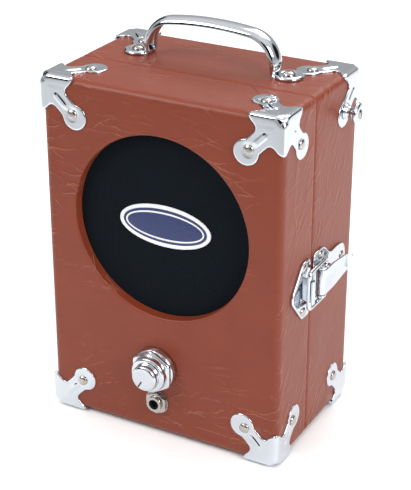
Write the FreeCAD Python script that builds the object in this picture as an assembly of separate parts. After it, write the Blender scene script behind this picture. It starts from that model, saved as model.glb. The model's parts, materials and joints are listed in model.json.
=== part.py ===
"""Small battery-powered practice amplifier in a hinged two-half case.

Frame: millimetres, +Z up, front (speaker side) towards -Y, +X to the right as seen from the front.
The origin is the bottom centre of the whole amplifier's bounding box.
"""
import FreeCAD, Part
import math
import os
from FreeCAD import Vector

# ---- driving dimensions -------------------------------------------------------------------
case_width = 149.0
case_height = 210.0
case_depth = 97.0
seam_from_front = 39.0
seam_gap = 0.5
edge_radius = 4.0
rim_radius = 0.6
skin = 0.8
board = 6.0

plate = 0.9
plate_air = 0.05
nail_head_r = 3.1
nail_head_h = 1.22
nail_flat = 0.08
nail_shank_r = 1.1
nail_from_edge = 20.0

opening_r = 55.0
opening_height = 131.5
baffle_depth = 6.5
control_x = -3.0
knob_height = 43.5
jack_height = 20.5
knob_length = 16.0
knob_off_angle = -150.0

handle_reach = 40.0
handle_foot_x = 48.0
handle_from_front = 60.5
handle_foot_r = 8.3
handle_foot_t = 2.2
handle_band = 12.0

latch_height = 100.0
latch_pivot_out = 4.6
latch_pivot_back = 5.0
bail_pivot_back = 11.5
bail_pivot_out = 4.2
bail_half = 11.3
bail_front = -10.5
bail_wire_r = 1.3

hinge_out = 2.8
hinge_r = 2.3
hinge_pin_r = 1.0
hinge_length = 26.0
hinge_heights = (45.0, 165.0)

running = 0.05

# ---- places that follow from them ---------------------------------------------------------
nail_stand = plate + plate_air + nail_head_h
case_bottom = nail_stand
case_top = case_bottom + case_height
half_width = case_width / 2
front_y = -(case_depth + nail_stand - knob_length) / 2
rear_y = front_y + case_depth
seam_y = front_y + seam_from_front
front_rim_y = seam_y - seam_gap / 2
rear_rim_y = seam_y + seam_gap / 2
baffle_back_y = front_y + baffle_depth
wall = skin + board
opening_z = case_bottom + opening_height
knob_z = case_bottom + knob_height
jack_z = case_bottom + jack_height
latch_z = case_bottom + latch_height
handle_y = front_y + handle_from_front
hinge_x = -half_width - hinge_out

X = Vector(1, 0, 0)
Y = Vector(0, 1, 0)
Z = Vector(0, 0, 1)

os.makedirs("parts", exist_ok=True)


# ---- small helpers ------------------------------------------------------------------------
def box(x0, x1, y0, y1, z0, z1):
    """Block between two opposite corners."""
    return Part.makeBox(x1 - x0, y1 - y0, z1 - z0, Vector(x0, y0, z0))


def rod(r, length, at, along):
    """Cylinder of radius r that starts at a point and runs along a direction."""
    return Part.makeCylinder(r, length, at, along)


def fuse(shapes):
    """One solid from touching shapes, with the seams between flat faces removed."""
    whole = shapes[0].multiFuse(shapes[1:]) if len(shapes) > 1 else shapes[0]
    return whole.removeSplitter()


def prism(points, height, lift):
    """Upright prism on a closed outline of (x, y) points, from z = lift up."""
    corners = [Vector(x, y, lift) for x, y in points]
    return Part.Face(Part.makePolygon(corners + corners[:1])).extrude(Vector(0, 0, height))


def ring_y(profile, x, z):
    """Solid turned about an axis along Y through (x, z); profile is a list of (radius, y)."""
    corners = [Vector(r, y, 0) for r, y in profile]
    face = Part.Face(Part.makePolygon(corners + corners[:1]))
    turned = face.revolve(Vector(0, 0, 0), Y, 360)
    turned.translate(Vector(x, 0, z))
    return turned


def rounded_block(x0, x1, y0, y1, z0, z1, r, keep_sharp_y):
    """Block with every edge rounded by r, except those round the face at y = keep_sharp_y."""
    block = box(x0, x1, y0, y1, z0, z1)
    edges = [e for e in block.Edges
             if not all(abs(v.Point.y - keep_sharp_y) < 1e-6 for v in e.Vertexes)]
    return block.makeFillet(r, edges)


def nail(at, out):
    """Domed nail head with a small flat on top, on a plate, and the shank through the plate."""
    peak = nail_head_h + nail_flat
    dome_r = (nail_head_r ** 2 + peak ** 2) / (2 * peak)
    head = Part.makeSphere(dome_r, at + out * (peak - dome_r))
    head = head.common(rod(nail_head_r, nail_head_h, at, out))
    shank = rod(nail_shank_r, plate, at - out * plate, out)
    return fuse([head, shank])


def tube(points, r, bend):
    """Round wire of radius r through points, each corner turned by an arc of radius bend."""
    corners = [Vector(*p) for p in points]
    pieces = []
    here = corners[0]
    for before, corner, after in zip(corners, corners[1:], corners[2:]):
        back = (before - corner).normalize()
        ahead = (after - corner).normalize()
        half = back.getAngle(ahead) / 2
        reach = bend / math.tan(half)
        start = corner + back * reach
        end = corner + ahead * reach
        centre = corner + (back + ahead).normalize() * (bend / math.sin(half))
        middle = centre + (corner - centre).normalize() * bend
        pieces.append(Part.makeLine(here, start))
        pieces.append(Part.Arc(start, middle, end).toShape())
        here = end
    pieces.append(Part.makeLine(here, corners[-1]))
    path = Part.Wire(pieces)
    first = (corners[1] - corners[0]).normalize()
    section = Part.Wire(Part.makeCircle(r, corners[0], first))
    return path.makePipeShell([section], True, True)


# ---- wooden boards and covering -----------------------------------------------------------
def half_shapes(front):
    """Outer block, wooden core and hollow of the front or the rear half of the case."""
    face = front_y if front else rear_y
    rim = front_rim_y if front else rear_rim_y
    inward = 1 if front else -1
    core_face = face + inward * skin
    core_rim = rim - inward * skin
    floor = baffle_back_y if front else rear_y - skin - board
    outer = rounded_block(-half_width, half_width, min(face, rim), max(face, rim),
                          case_bottom, case_top, edge_radius, rim)
    core = rounded_block(-half_width + skin, half_width - skin,
                         min(core_face, core_rim), max(core_face, core_rim),
                         case_bottom + skin, case_top - skin, edge_radius - skin, core_rim)
    beyond = rim + inward * 5
    hollow = box(-half_width + wall, half_width - wall, min(floor, beyond), max(floor, beyond),
                 case_bottom + wall, case_top - wall)
    return outer, core, hollow


def side_boards(core, hollow, y0, y1):
    """Top, bottom, left and right boards of a half between two depths."""
    frame = core.common(box(-100, 100, y0, y1, 0, 300)).cut(hollow)
    low = case_bottom + wall
    high = case_top - wall
    return {
        "top_board": frame.common(box(-100, 100, y0, y1, high, 300)),
        "bottom_board": frame.common(box(-100, 100, y0, y1, 0, low)),
        "left_board": frame.common(box(-100, 0, y0, y1, low, high)),
        "right_board": frame.common(box(0, 100, y0, y1, low, high)),
    }


def rounded_rim(shape, rim):
    """Covering with its outer edge at the seam slightly rounded."""
    edges = []
    for e in shape.Edges:
        box_of = e.BoundBox
        flat = abs(box_of.YMin - rim) < 1e-6 and abs(box_of.YMax - rim) < 1e-6
        outside = max(abs(box_of.XMin), abs(box_of.XMax)) > half_width - edge_radius - 0.1
        tall = box_of.ZMax > case_top - edge_radius - 0.1 or box_of.ZMin < case_bottom + edge_radius
        if flat and (outside or tall):
            edges.append(e)
    return shape.makeFillet(rim_radius, edges)


def front_half_boards():
    outer, core, hollow = half_shapes(True)
    parts = side_boards(core, hollow, baffle_back_y, front_rim_y - skin)
    baffle = core.common(box(-100, 100, front_y, baffle_back_y, 0, 300))
    holes = [
        rod(opening_r + skin, 20, Vector(0, front_y - 5, opening_z), Y),
        rod(pot_bush_r + 0.3, 20, Vector(control_x, front_y - 5, knob_z), Y),
        rod(jack_bush_r + 0.2, 20, Vector(control_x, front_y - 5, jack_z), Y),
    ]
    lining = ring_y([(opening_r, front_y), (opening_r + skin, front_y),
                     (opening_r + skin, baffle_back_y), (opening_r, baffle_back_y)], 0, opening_z)
    cover = rounded_rim(outer, front_rim_y).cut(core).cut(hollow)
    for hole in holes:
        baffle = baffle.cut(hole)
        cover = cover.cut(hole)
    parts["baffle"] = baffle
    parts["covering"] = fuse([cover, lining])
    return parts


def rear_half_boards():
    outer, core, hollow = half_shapes(False)
    panel_y = rear_y - skin - board
    parts = side_boards(core, hollow, rear_rim_y + skin, panel_y)
    parts["back_panel"] = core.common(box(-100, 100, panel_y, rear_y, 0, 300))
    cover = rounded_rim(outer, rear_rim_y).cut(core).cut(hollow)
    for side in (-1, 1):
        hole = rod(handle_screw_r + running, 20,
                   Vector(side * handle_foot_x, handle_y, case_top - 12), Z)
        parts["top_board"] = parts["top_board"].cut(hole)
        cover = cover.cut(hole)
    parts["covering"] = cover
    return parts


# ---- pressed corner plates ----------------------------------------------------------------
lobe_from_edge = 21.5
lobe_r = 7.4
tip_reach = 20.4
rib_length = 8.0
rib_r = 1.4
rib_from_corner = 18.0
rib_height = 0.45


def lobe_prism():
    """Outline of the plate on one face, as a prism; the case corner is at the origin."""
    flank = [(tip_reach, 1.2), (18.6, 4.4), (16.0, 6.2), (15.6, 8.2), (18.0, 11.4)]
    turn = math.radians(-88)
    last = (lobe_from_edge + lobe_r * math.cos(turn), lobe_from_edge + lobe_r * math.sin(turn))
    right = [Vector(x, y, 0) for x, y in flank + [last]]
    left = [Vector(v.y, v.x, 0) for v in reversed(right)]
    side = Part.BSplineCurve()
    side.interpolate(right)
    other = Part.BSplineCurve()
    other.interpolate(left)
    diagonal = lobe_from_edge + lobe_r * math.sqrt(0.5)
    far = Vector(diagonal, diagonal, 0)
    corner = Vector(-3, -3, 0)
    start = Vector(tip_reach, -3, 0)
    finish = Vector(-3, tip_reach, 0)
    outline = Part.Wire([
        Part.makeLine(corner, start),
        Part.makeLine(start, right[0]),
        side.toShape(),
        Part.Arc(right[-1], far, left[0]).toShape(),
        other.toShape(),
        Part.makeLine(left[-1], finish),
        Part.makeLine(finish, corner),
    ])
    depth = edge_radius * (1 - math.sqrt(0.5)) + 0.05
    outline.translate(Vector(0, 0, -2))
    return Part.Face(outline).extrude(Vector(0, 0, 2 + depth))


def corner_block(inset, r, size):
    """Block that reaches from the corner inwards, with its three meeting edges rounded."""
    block = box(inset, size, inset, size, inset, size)
    edges = [e for e in block.Edges
             if sum(abs(v.Point.x - inset) + abs(v.Point.y - inset) + abs(v.Point.z - inset) < 1e-6
                    for v in e.Vertexes) == 1]
    return block.makeFillet(r, edges)


def turn_thrice(shape):
    """The shape on the z face, and its copies on the x and y faces of the same corner."""
    copies = [shape]
    for k in (1, 2):
        turned = shape.copy()
        turned.rotate(Vector(0, 0, 0), Vector(1, 1, 1), 120 * k)
        copies.append(turned)
    return copies


def corner_plate():
    """Three-lobed pressed corner plate, with the case corner at the origin and the case inwards."""
    size = 34.0
    outer = corner_block(-plate - plate_air, edge_radius + plate + plate_air, size)
    inner = corner_block(-plate_air, edge_radius + plate_air, size + 1)
    shell = outer.cut(inner)
    lobes = turn_thrice(lobe_prism())
    solid = shell.common(fuse(lobes))
    along = Vector(1, 1, 0).normalize()
    top = -plate - plate_air
    a = along * (rib_from_corner - rib_length / 2) + Vector(0, 0, top - rib_height)
    b = along * (rib_from_corner + rib_length / 2) + Vector(0, 0, top - rib_height)
    bar = box(0, rib_length, -rib_r, rib_r, 0, rib_height + plate / 2)
    bar.rotate(Vector(0, 0, 0), Z, 45)
    bar.translate(a)
    ends = [rod(rib_r, rib_height + plate / 2, p, Z) for p in (a, b)]
    rib = fuse([bar] + ends)
    hole = rod(nail_shank_r + running, 5, Vector(nail_from_edge, nail_from_edge, -3), Z)
    solid = fuse([solid] + turn_thrice(rib))
    for each in turn_thrice(hole):
        solid = solid.cut(each)
    return solid


def placed(shape, right, rear, top):
    """Mirror a corner shape to one of the eight corners of the case."""
    moved = shape
    for flip, normal in ((right, X), (rear, Y), (top, Z)):
        if flip:
            moved = moved.mirror(Vector(0, 0, 0), normal)
    moved = moved.copy()
    moved.translate(Vector(half_width if right else -half_width,
                           rear_y if rear else front_y,
                           case_top if top else case_bottom))
    return moved


def corner_nail_places(right, rear, top):
    """Position and outward direction of the three nails of one corner, upright one first."""
    sx = 1 if right else -1
    sy = 1 if rear else -1
    sz = 1 if top else -1
    x = sx * (half_width - nail_from_edge)
    y = rear_y - nail_from_edge if rear else front_y + nail_from_edge
    z = case_top - nail_from_edge if top else case_bottom + nail_from_edge
    out = plate + plate_air
    z_face = case_top + out if top else case_bottom - out
    y_face = rear_y + out if rear else front_y - out
    x_face = sx * (half_width + out)
    return [
        (Vector(x, y, z_face), Vector(0, 0, sz)),
        (Vector(x, y_face, z), Vector(0, sy, 0)),
        (Vector(x_face, y, z), Vector(sx, 0, 0)),
    ]


# ---- handle and strap buttons -------------------------------------------------------------
handle_screw_r = 2.0
handle_leg = 5.2
handle_shoulder_r = 17.0
handle_rise_angle = math.radians(8)
handle_crown = 4.0
handle_sheet = 1.6


def handle():
    """Arched channel-section handle with a round foot at each end."""
    base = case_top + plate_air
    z1 = base + handle_leg
    turn = handle_rise_angle
    shoulder_x = handle_reach - handle_shoulder_r + handle_shoulder_r * math.sin(turn)
    shoulder_z = z1 + handle_shoulder_r * math.cos(turn)
    mid_angle = math.radians(45)
    mid_x = handle_reach - handle_shoulder_r + handle_shoulder_r * math.cos(mid_angle)
    mid_z = z1 + handle_shoulder_r * math.sin(mid_angle)
    top_r = shoulder_x / math.sin(turn)
    top_z = shoulder_z + top_r * (1 - math.cos(turn))
    y = handle_y
    path = Part.Wire([
        Part.makeLine(Vector(-handle_reach, y, base + 0.4), Vector(-handle_reach, y, z1)),
        Part.Arc(Vector(-handle_reach, y, z1), Vector(-mid_x, y, mid_z),
                 Vector(-shoulder_x, y, shoulder_z)).toShape(),
        Part.Arc(Vector(-shoulder_x, y, shoulder_z), Vector(0, y, top_z),
                 Vector(shoulder_x, y, shoulder_z)).toShape(),
        Part.Arc(Vector(shoulder_x, y, shoulder_z), Vector(mid_x, y, mid_z),
                 Vector(handle_reach, y, z1)).toShape(),
        Part.makeLine(Vector(handle_reach, y, z1), Vector(handle_reach, y, base + 0.4)),
    ])
    half = handle_band / 2
    x0 = -handle_reach
    z0 = base + 0.4
    outer = Part.Arc(Vector(x0 + 1.2, y - half, z0), Vector(x0 - handle_crown + 1.2, y, z0),
                     Vector(x0 + 1.2, y + half, z0)).toShape()
    inner = Part.Arc(Vector(x0 + 1.2, y + half - handle_sheet, z0),
                     Vector(x0 - handle_crown + 1.2 + handle_sheet, y, z0),
                     Vector(x0 + 1.2, y - half + handle_sheet, z0)).toShape()
    lips = [
        Part.makeLine(Vector(x0 + 1.2, y + half, z0), Vector(x0 + 1.2, y + half - handle_sheet, z0)),
        Part.makeLine(Vector(x0 + 1.2, y - half + handle_sheet, z0), Vector(x0 + 1.2, y - half, z0)),
    ]
    section = Part.Wire([outer, lips[0], inner, lips[1]])
    pieces = [path.makePipeShell([section], True, False)]
    for side in (-1, 1):
        foot = rod(handle_foot_r, handle_foot_t, Vector(side * handle_foot_x, y, base), Z)
        edge = [e for e in foot.Edges if abs(e.BoundBox.ZMin - base - handle_foot_t) < 1e-6]
        pieces.append(foot.makeFillet(0.8, edge))
        near = side * (handle_reach - 1.2)
        far = side * handle_foot_x
        pieces.append(box(min(near, far), max(near, far), y - half, y + half, base, base + 1.4))
    solid = fuse(pieces)
    for side in (-1, 1):
        solid = solid.cut(rod(handle_screw_r + running, 10,
                              Vector(side * handle_foot_x, y, base - 2), Z))
    return solid


def handle_screws():
    """Two slotted round-head screws through the handle's feet, each with a nut under the board."""
    solids = []
    seat = case_top + plate_air + handle_foot_t
    under = case_top - wall
    for side in (-1, 1):
        x = side * handle_foot_x
        head = Part.makeSphere(4.6, Vector(x, handle_y, seat - 2.9))
        head = head.common(rod(3.5, 2.0, Vector(x, handle_y, seat), Z))
        slot = box(x - 4, x + 4, handle_y - 0.45, handle_y + 0.45, seat + 0.9, seat + 3)
        shank = rod(handle_screw_r, seat - under + 4, Vector(x, handle_y, under - 4), Z)
        solids.append(fuse([head.cut(slot), shank]))
        nut = prism(hexagon(3.9), 2.6, 0).cut(rod(handle_screw_r, 5, Vector(0, 0, -1), Z))
        nut.translate(Vector(x, handle_y, under - 2.6 - 0.02))
        solids.append(nut)
    return Part.makeCompound(solids)


def hexagon(r):
    """Six corners of a hexagon of corner radius r."""
    return [(r * math.cos(math.radians(60 * k)), r * math.sin(math.radians(60 * k))) for k in range(6)]


strap_neck_r = 3.2
strap_head_r = 6.3
strap_length = 9.6


def strap_button(side):
    """Turned strap button on the upper rear corner plate's side lobe."""
    profile = [(0, -plate), (nail_shank_r, -plate), (nail_shank_r, 0), (4.8, 0), (4.8, 0.6),
               (4.2, 1.2), (strap_neck_r, 2.4), (strap_neck_r, 5.2), (strap_head_r - 0.8, 6.0),
               (strap_head_r, 6.8), (strap_head_r, 7.6), (strap_head_r - 1.0, 8.8), (2.4, 9.2),
               (2.2, strap_length), (0, strap_length)]
    x0 = half_width + plate + plate_air
    corners = [Vector(x0 + h, r, 0) for r, h in profile]
    face = Part.Face(Part.makePolygon(corners + corners[:1]))
    turned = face.revolve(Vector(0, 0, 0), X, 360)
    turned.translate(Vector(0, rear_y - nail_from_edge, case_top - nail_from_edge))
    if side < 0:
        turned = turned.mirror(Vector(0, 0, 0), X)
    return turned


# ---- side hinges --------------------------------------------------------------------------
hinge_gap = 0.3
leaf_reach = 11.0
leaf_sheet = 1.0


def hinge_leaves(front):
    """Leaves of both side hinges that lie on the front or the rear half, with their knuckles."""
    solids = []
    third = hinge_length / 3
    sign = -1 if front else 1
    for height in hinge_heights:
        z0 = case_bottom + height - hinge_length / 2
        if front:
            spans = [(z0 + third + hinge_gap / 2, z0 + 2 * third - hinge_gap / 2)]
        else:
            spans = [(z0, z0 + third - hinge_gap / 2),
                     (z0 + 2 * third + hinge_gap / 2, z0 + hinge_length)]
        x_out = -half_width - plate_air - leaf_sheet
        x_in = -half_width - plate_air
        near = seam_y + sign * 3.0
        far = seam_y + sign * leaf_reach
        pieces = [box(x_out, x_in, min(near, far), max(near, far), z0, z0 + hinge_length)]
        for low, high in spans:
            start = seam_y + sign * 0.7
            pieces.append(box(x_out, x_in, min(start, near), max(start, near), low, high))
            pieces.append(rod(hinge_r, high - low, Vector(hinge_x, seam_y, low), Z))
        leaf = fuse(pieces)
        bore = hinge_pin_r + (running if front else 0)
        leaf = leaf.cut(rod(bore, hinge_length + 2, Vector(hinge_x, seam_y, z0 - 1), Z))
        for at, out in hinge_nail_places(front):
            leaf = leaf.cut(rod(nail_shank_r + running, 6, at - out * 3, out))
        solids.append(leaf)
    return Part.makeCompound(solids)


def hinge_pins():
    """The two hinge pins, each with a rounded head at the top."""
    solids = []
    for height in hinge_heights:
        z0 = case_bottom + height - hinge_length / 2
        pin = rod(hinge_pin_r, hinge_length, Vector(hinge_x, seam_y, z0), Z)
        head = rod(1.7, 0.9, Vector(hinge_x, seam_y, z0 + hinge_length), Z)
        solids.append(fuse([pin, head]))
    return Part.makeCompound(solids)


def hinge_nail_places(front):
    """Two nails on each hinge leaf."""
    sign = -1 if front else 1
    places = []
    for height in hinge_heights:
        for up in (-8.5, 8.5):
            at = Vector(-half_width - plate_air - leaf_sheet, seam_y + sign * 7.4,
                        case_bottom + height + up)
            places.append((at, Vector(-1, 0, 0)))
    return places


# ---- draw latch on the right side ---------------------------------------------------------
latch_sheet = 1.0
latch_pin_r = 1.3
ear_in = 8.2
ear_out = 9.4
lever_half = 7.7
lever_length = 29.0
lever_sheet = 1.1
bail_pin_reach = 5.8


def latch_point(back, out, up):
    """Point given by its distance behind the seam, out from the right wall and above the latch's middle."""
    return Vector(half_width + plate_air + out, seam_y + back, latch_z + up)


def side_plate(outline, thickness, soften):
    """Plate on the right wall; outline is a list of (back, up), its upright edges rounded."""
    corners = [latch_point(b, 0, u) for b, u in outline]
    flat = Part.Face(Part.makePolygon(corners + corners[:1])).extrude(Vector(thickness, 0, 0))
    edges = [e for e in flat.Edges if abs(e.BoundBox.XLength - thickness) < 1e-6]
    return flat.makeFillet(soften, edges)


def latch_base():
    """Latch base plate on the rear half, with two ears that carry the lever's pin."""
    outline = [(1.5, -17.0), (15.0, -17.0), (24.0, -9.0), (46.5, -9.0),
               (46.5, 9.0), (24.0, 9.0), (15.0, 17.0), (1.5, 17.0)]
    solid = side_plate(outline, latch_sheet, 3.4)
    pieces = [solid]
    for side in (-1, 1):
        low = min(side * ear_in, side * ear_out)
        foot = box(0, latch_pivot_out, -3.2, 3.2, 0, ear_out - ear_in)
        eye = rod(3.2, ear_out - ear_in, Vector(latch_pivot_out, 0, 0), Z)
        ear = fuse([foot, eye])
        ear.translate(latch_point(latch_pivot_back, 0, low))
        pieces.append(ear)
    solid = fuse(pieces)
    pin = rod(latch_pin_r, 60, latch_point(latch_pivot_back, latch_pivot_out, -30), Z)
    solid = solid.cut(pin)
    for at, out in latch_base_nails():
        solid = solid.cut(rod(nail_shank_r + running, 6, at - out * 3, out))
    return solid


def latch_base_nails():
    spots = [(11.5, -12.8), (11.5, 12.8), (41.0, 0.0)]
    return [(latch_point(b, latch_sheet, u), X) for b, u in spots]


def keeper_nails():
    return [(latch_point(-10.5, latch_sheet, u), X) for u in (-13.6, 13.6)]


def latch_pin():
    """Lever pin with a flat head outside each ear."""
    z0 = -ear_out - 0.6
    body = rod(latch_pin_r, 2 * (ear_out + 0.6), latch_point(latch_pivot_back, latch_pivot_out, z0), Z)
    heads = [rod(2.0, 0.5, latch_point(latch_pivot_back, latch_pivot_out, z), Z)
             for z in (-ear_out - 0.6, ear_out + 0.1)]
    return fuse([body] + heads)


def latch_lever():
    """Flat lever rolled round its pin at the front, curled up into a finger tab at the back."""
    roll_r = 3.0
    roll = rod(roll_r, 2 * lever_half, latch_point(latch_pivot_back, latch_pivot_out, -lever_half), Z)
    outer = latch_pivot_out + roll_r
    inner = outer - lever_sheet
    end = latch_pivot_back + lever_length
    base = latch_point(0, 0, 0)
    flat = box(base.x + inner, base.x + outer, seam_y + latch_pivot_back, seam_y + end,
               latch_z - lever_half, latch_z + lever_half)
    curl_r = 4.0
    curl = rod(curl_r, 2 * lever_half - 2, latch_point(end, inner + curl_r, -lever_half + 1), Z)
    curl = curl.cut(rod(curl_r - lever_sheet, 30, latch_point(end, inner + curl_r, -15), Z))
    curl = curl.common(box(base.x + inner, base.x + inner + curl_r - 0.2, seam_y + end - 0.02,
                           seam_y + end + 10, latch_z - 20, latch_z + 20))
    taper = [(-1.0, -lever_half), (16.0, -lever_half), (end + 6, -4.9), (end + 6, 4.9), (16.0, lever_half),
             (-1.0, lever_half)]
    corners = [latch_point(b, 0, u) for b, u in taper]
    wedge = Part.Face(Part.makePolygon(corners + corners[:1])).extrude(Vector(20, 0, 0))
    lugs = []
    for side in (-1, 1):
        low = min(side * (lever_half - 1.2), side * lever_half)
        web = box(bail_pivot_out, inner + 0.3, -2.6, 2.6, 0, 1.2)
        eye = rod(2.6, 1.2, Vector(bail_pivot_out, 0, 0), Z)
        lug = fuse([web, eye])
        lug.translate(latch_point(bail_pivot_back, 0, low))
        lugs.append(lug)
    solid = fuse([roll, fuse([flat, curl]).common(wedge)] + lugs)
    for back, out, r in ((latch_pivot_back, latch_pivot_out, latch_pin_r),
                         (bail_pivot_back, bail_pivot_out, bail_wire_r)):
        solid = solid.cut(rod(r + running, 40, latch_point(back, out, -20), Z))
    return solid


def latch_bail():
    """Wire loop from the lever's lugs forward over the seam to the keeper's hook."""
    def at(back, up):
        p = latch_point(back, bail_pivot_out, up)
        return (p.x, p.y, p.z)
    loop = [at(bail_pivot_back, -bail_pin_reach), at(bail_pivot_back, -bail_half),
            at(bail_front, -bail_half), at(bail_front, bail_half),
            at(bail_pivot_back, bail_half), at(bail_pivot_back, bail_pin_reach)]
    return tube(loop, bail_wire_r, 1.6)


def latch_keeper():
    """Pointed keeper plate on the front half, with a raised hook behind the bail's bar."""
    outline = [(-25.5, -2.5), (-12.5, -17.5), (-3.5, -17.5), (-3.5, 17.5), (-12.5, 17.5), (-25.5, 2.5)]
    base = side_plate(outline, latch_sheet, 2.0)
    start = latch_point(0, 0, 0)
    hook_back = bail_front + bail_wire_r + 0.3
    lip = box(start.x, start.x + 6.6, seam_y + hook_back, seam_y + hook_back + 1.3,
              latch_z - 7.0, latch_z + 7.0)
    edges = [e for e in lip.Edges if abs(e.BoundBox.YLength - 1.3) < 1e-6 and e.BoundBox.XMin > start.x + 6]
    lip = lip.makeFillet(2.5, edges)
    brace = prism([(0, 0), (5.0, 0), (0, 4.0)], 1.2, 0)
    brace.translate(latch_point(hook_back + 1.0, latch_sheet - 0.3, -0.6))
    solid = fuse([base, lip, brace])
    for at, out in keeper_nails():
        solid = solid.cut(rod(nail_shank_r + running, 6, at - out * 3, out))
    return solid


# ---- speaker ------------------------------------------------------------------------------
cloth_t = 0.5
flange_r = 63.0
cone_edge_r = 49.0
coil_r = 12.5


def speaker_parts():
    """Loudspeaker behind the baffle; depths are measured from the baffle's back."""
    b = baffle_back_y

    def turned(profile):
        return ring_y([(r, b + y) for r, y in profile], 0, opening_z)

    basket = turned([(56.0, 2.0), (flange_r, 2.0), (flange_r, 3.2), (57.2, 3.2), (57.2, 8.0),
                     (35.5, 20.2), (31.5, 20.2), (28.5, 24.0), (28.5, 25.2), (13.2, 25.2), (13.2, 24.0),
                     (27.6, 24.0), (30.6, 19.0), (34.6, 19.0), (56.0, 7.2)])
    window = turned([(37.0, 5.5), (70.0, 5.5), (70.0, 17.5), (37.0, 17.5)])
    for k in range(6):
        sector = prism([(0, 0), (90, -23), (90, 23)], 60, 0)
        sector.rotate(Vector(0, 0, 0), X, 90)
        sector.rotate(Vector(0, 0, 0), Y, 60 * k + 30)
        sector.translate(Vector(0, b + 60, opening_z))
        basket = basket.cut(window.common(sector))
    screws = []
    for k in range(4):
        turn = math.radians(45 + 90 * k)
        at = Vector(60.8 * math.cos(turn), b + cloth_t, opening_z + 60.8 * math.sin(turn))
        basket = basket.cut(rod(1.5 + running, 10, at, Y))
        shank = rod(1.5, 3.2 - cloth_t + 0.2, at, Y)
        head = rod(2.1, 1.6, at + Y * (3.2 - cloth_t), Y)
        screws.append(fuse([shank, head]))
    gasket = turned([(55.5, cloth_t), (flange_r, cloth_t), (flange_r, 2.0), (59.1, 2.0),
                     (59.1, 1.6), (55.5, 1.6)])
    for k in range(4):
        turn = math.radians(45 + 90 * k)
        at = Vector(60.8 * math.cos(turn), b, opening_z + 60.8 * math.sin(turn))
        gasket = gasket.cut(rod(1.5 + running, 10, at, Y))
    surround = turned([(46.5, 2.4), (49.6, 2.4), (50.8, 2.8), (51.8, 3.8), (52.8, 4.0), (53.9, 3.0),
                       (54.7, 1.6), (59.0, 1.6), (59.0, 2.0), (55.3, 2.0), (54.4, 3.5), (53.0, 4.6),
                       (51.4, 4.4), (50.2, 3.3), (49.2, 2.9), (46.5, 2.9)])
    spider = turned([(coil_r, 18.2), (17.0, 18.2), (18.5, 17.2), (21.0, 18.8), (23.5, 17.2), (26.0, 18.8),
                     (28.0, 18.5), (34.0, 18.5), (34.0, 18.9), (27.8, 18.9), (26.0, 19.3), (23.5, 17.8),
                     (21.0, 19.4), (18.5, 17.8), (17.2, 18.7), (coil_r, 18.7)])
    cone = turned([(46.0, 2.9), (cone_edge_r, 2.9), (cone_edge_r, 3.5), (coil_r + 0.2, 17.6),
                   (coil_r + 0.02, 17.6), (coil_r + 0.02, 16.9), (46.2, 3.5)])
    cap = turned([(0, 11.5), (5, 11.9), (10, 13.2), (13.4, 15.6), (14.0, 16.1), (13.5, 16.3),
                  (12.8, 15.9), (9.6, 13.7), (4.8, 12.5), (0, 12.1)])
    coil = turned([(coil_r - 0.4, 16.2), (coil_r, 16.2), (coil_r, 33.0), (coil_r - 0.4, 33.0)])
    top_plate = turned([(coil_r + 0.35, 25.25), (29.0, 25.25), (29.0, 29.2), (coil_r + 0.35, 29.2)])
    magnet = turned([(16.0, 29.2), (32.0, 29.2), (32.5, 29.8), (32.5, 38.6), (32.0, 39.2), (16.0, 39.2)])
    yoke = turned([(0, 25.6), (11.7, 25.6), (11.7, 39.2), (30.0, 39.2), (30.0, 42.6),
                   (29.2, 43.4), (0, 43.4)])
    return {
        "speaker_basket": basket,
        "speaker_screws": Part.makeCompound(screws),
        "speaker_gasket": gasket,
        "speaker_surround": surround,
        "speaker_spider": spider,
        "speaker_cone": cone,
        "speaker_dust_cap": cap,
        "speaker_voice_coil": coil,
        "speaker_top_plate": top_plate,
        "speaker_magnet": magnet,
        "speaker_yoke": yoke,
    }


def grille_cloth():
    return rod(60.0 - 2.0, cloth_t, Vector(0, baffle_back_y, opening_z), Y)


badge_half_width = 29.0
badge_half_height = 12.5
badge_t = 1.0


def badge():
    """Oval badge plate with a raised rim, fixed to the front of the cloth."""
    def oval(a, c, t):
        wire = Part.Ellipse(Vector(0, 0, 0), a, c).toShape()
        return Part.Face(Part.Wire(wire)).extrude(Vector(0, 0, t))
    plate_solid = oval(badge_half_width, badge_half_height, badge_t - 0.4)
    rim = oval(badge_half_width, badge_half_height, badge_t).cut(
        oval(badge_half_width - 1.6, badge_half_height - 1.6, badge_t))
    solid = fuse([plate_solid, rim])
    solid.rotate(Vector(0, 0, 0), X, 90)
    solid.translate(Vector(0, baffle_back_y, opening_z))
    return solid


# ---- controls, electronics and batteries --------------------------------------------------
pot_bush_r = 3.5
shaft_r = 2.9
jack_bush_r = 4.7
jack_bore_r = 3.2
chassis_t = 1.2


def volume_pot():
    """Potentiometer body, threaded bush and its front nut."""
    b = baffle_back_y + chassis_t
    nut_face = front_y - 1.6
    profile = [(shaft_r + running, b + 1.5), (8.3, b + 1.5), (8.3, b + 9.5), (shaft_r + running, b + 9.5)]
    case = ring_y(profile, control_x, knob_z)
    bush = rod(pot_bush_r, b + 2 - (front_y - 3.0), Vector(control_x, front_y - 3.0, knob_z), Y)
    flange = rod(6.0, 1.5, Vector(control_x, b, knob_z), Y)
    lugs = box(control_x - 6, control_x + 6, b + 3.5, b + 4.5, knob_z - 13.5, knob_z - 7.6)
    nut = prism(hexagon(5.8), 1.6, 0)
    nut.rotate(Vector(0, 0, 0), X, -90)
    nut.translate(Vector(control_x, nut_face, knob_z))
    solid = fuse([case, bush, flange, lugs, nut])
    return solid.cut(rod(shaft_r + running, 60, Vector(control_x, front_y - 10, knob_z), Y))


def pot_shaft():
    start = front_y - 12.5
    end = baffle_back_y + chassis_t + 8.0
    return rod(shaft_r, end - start, Vector(control_x, start, knob_z), Y)


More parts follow.
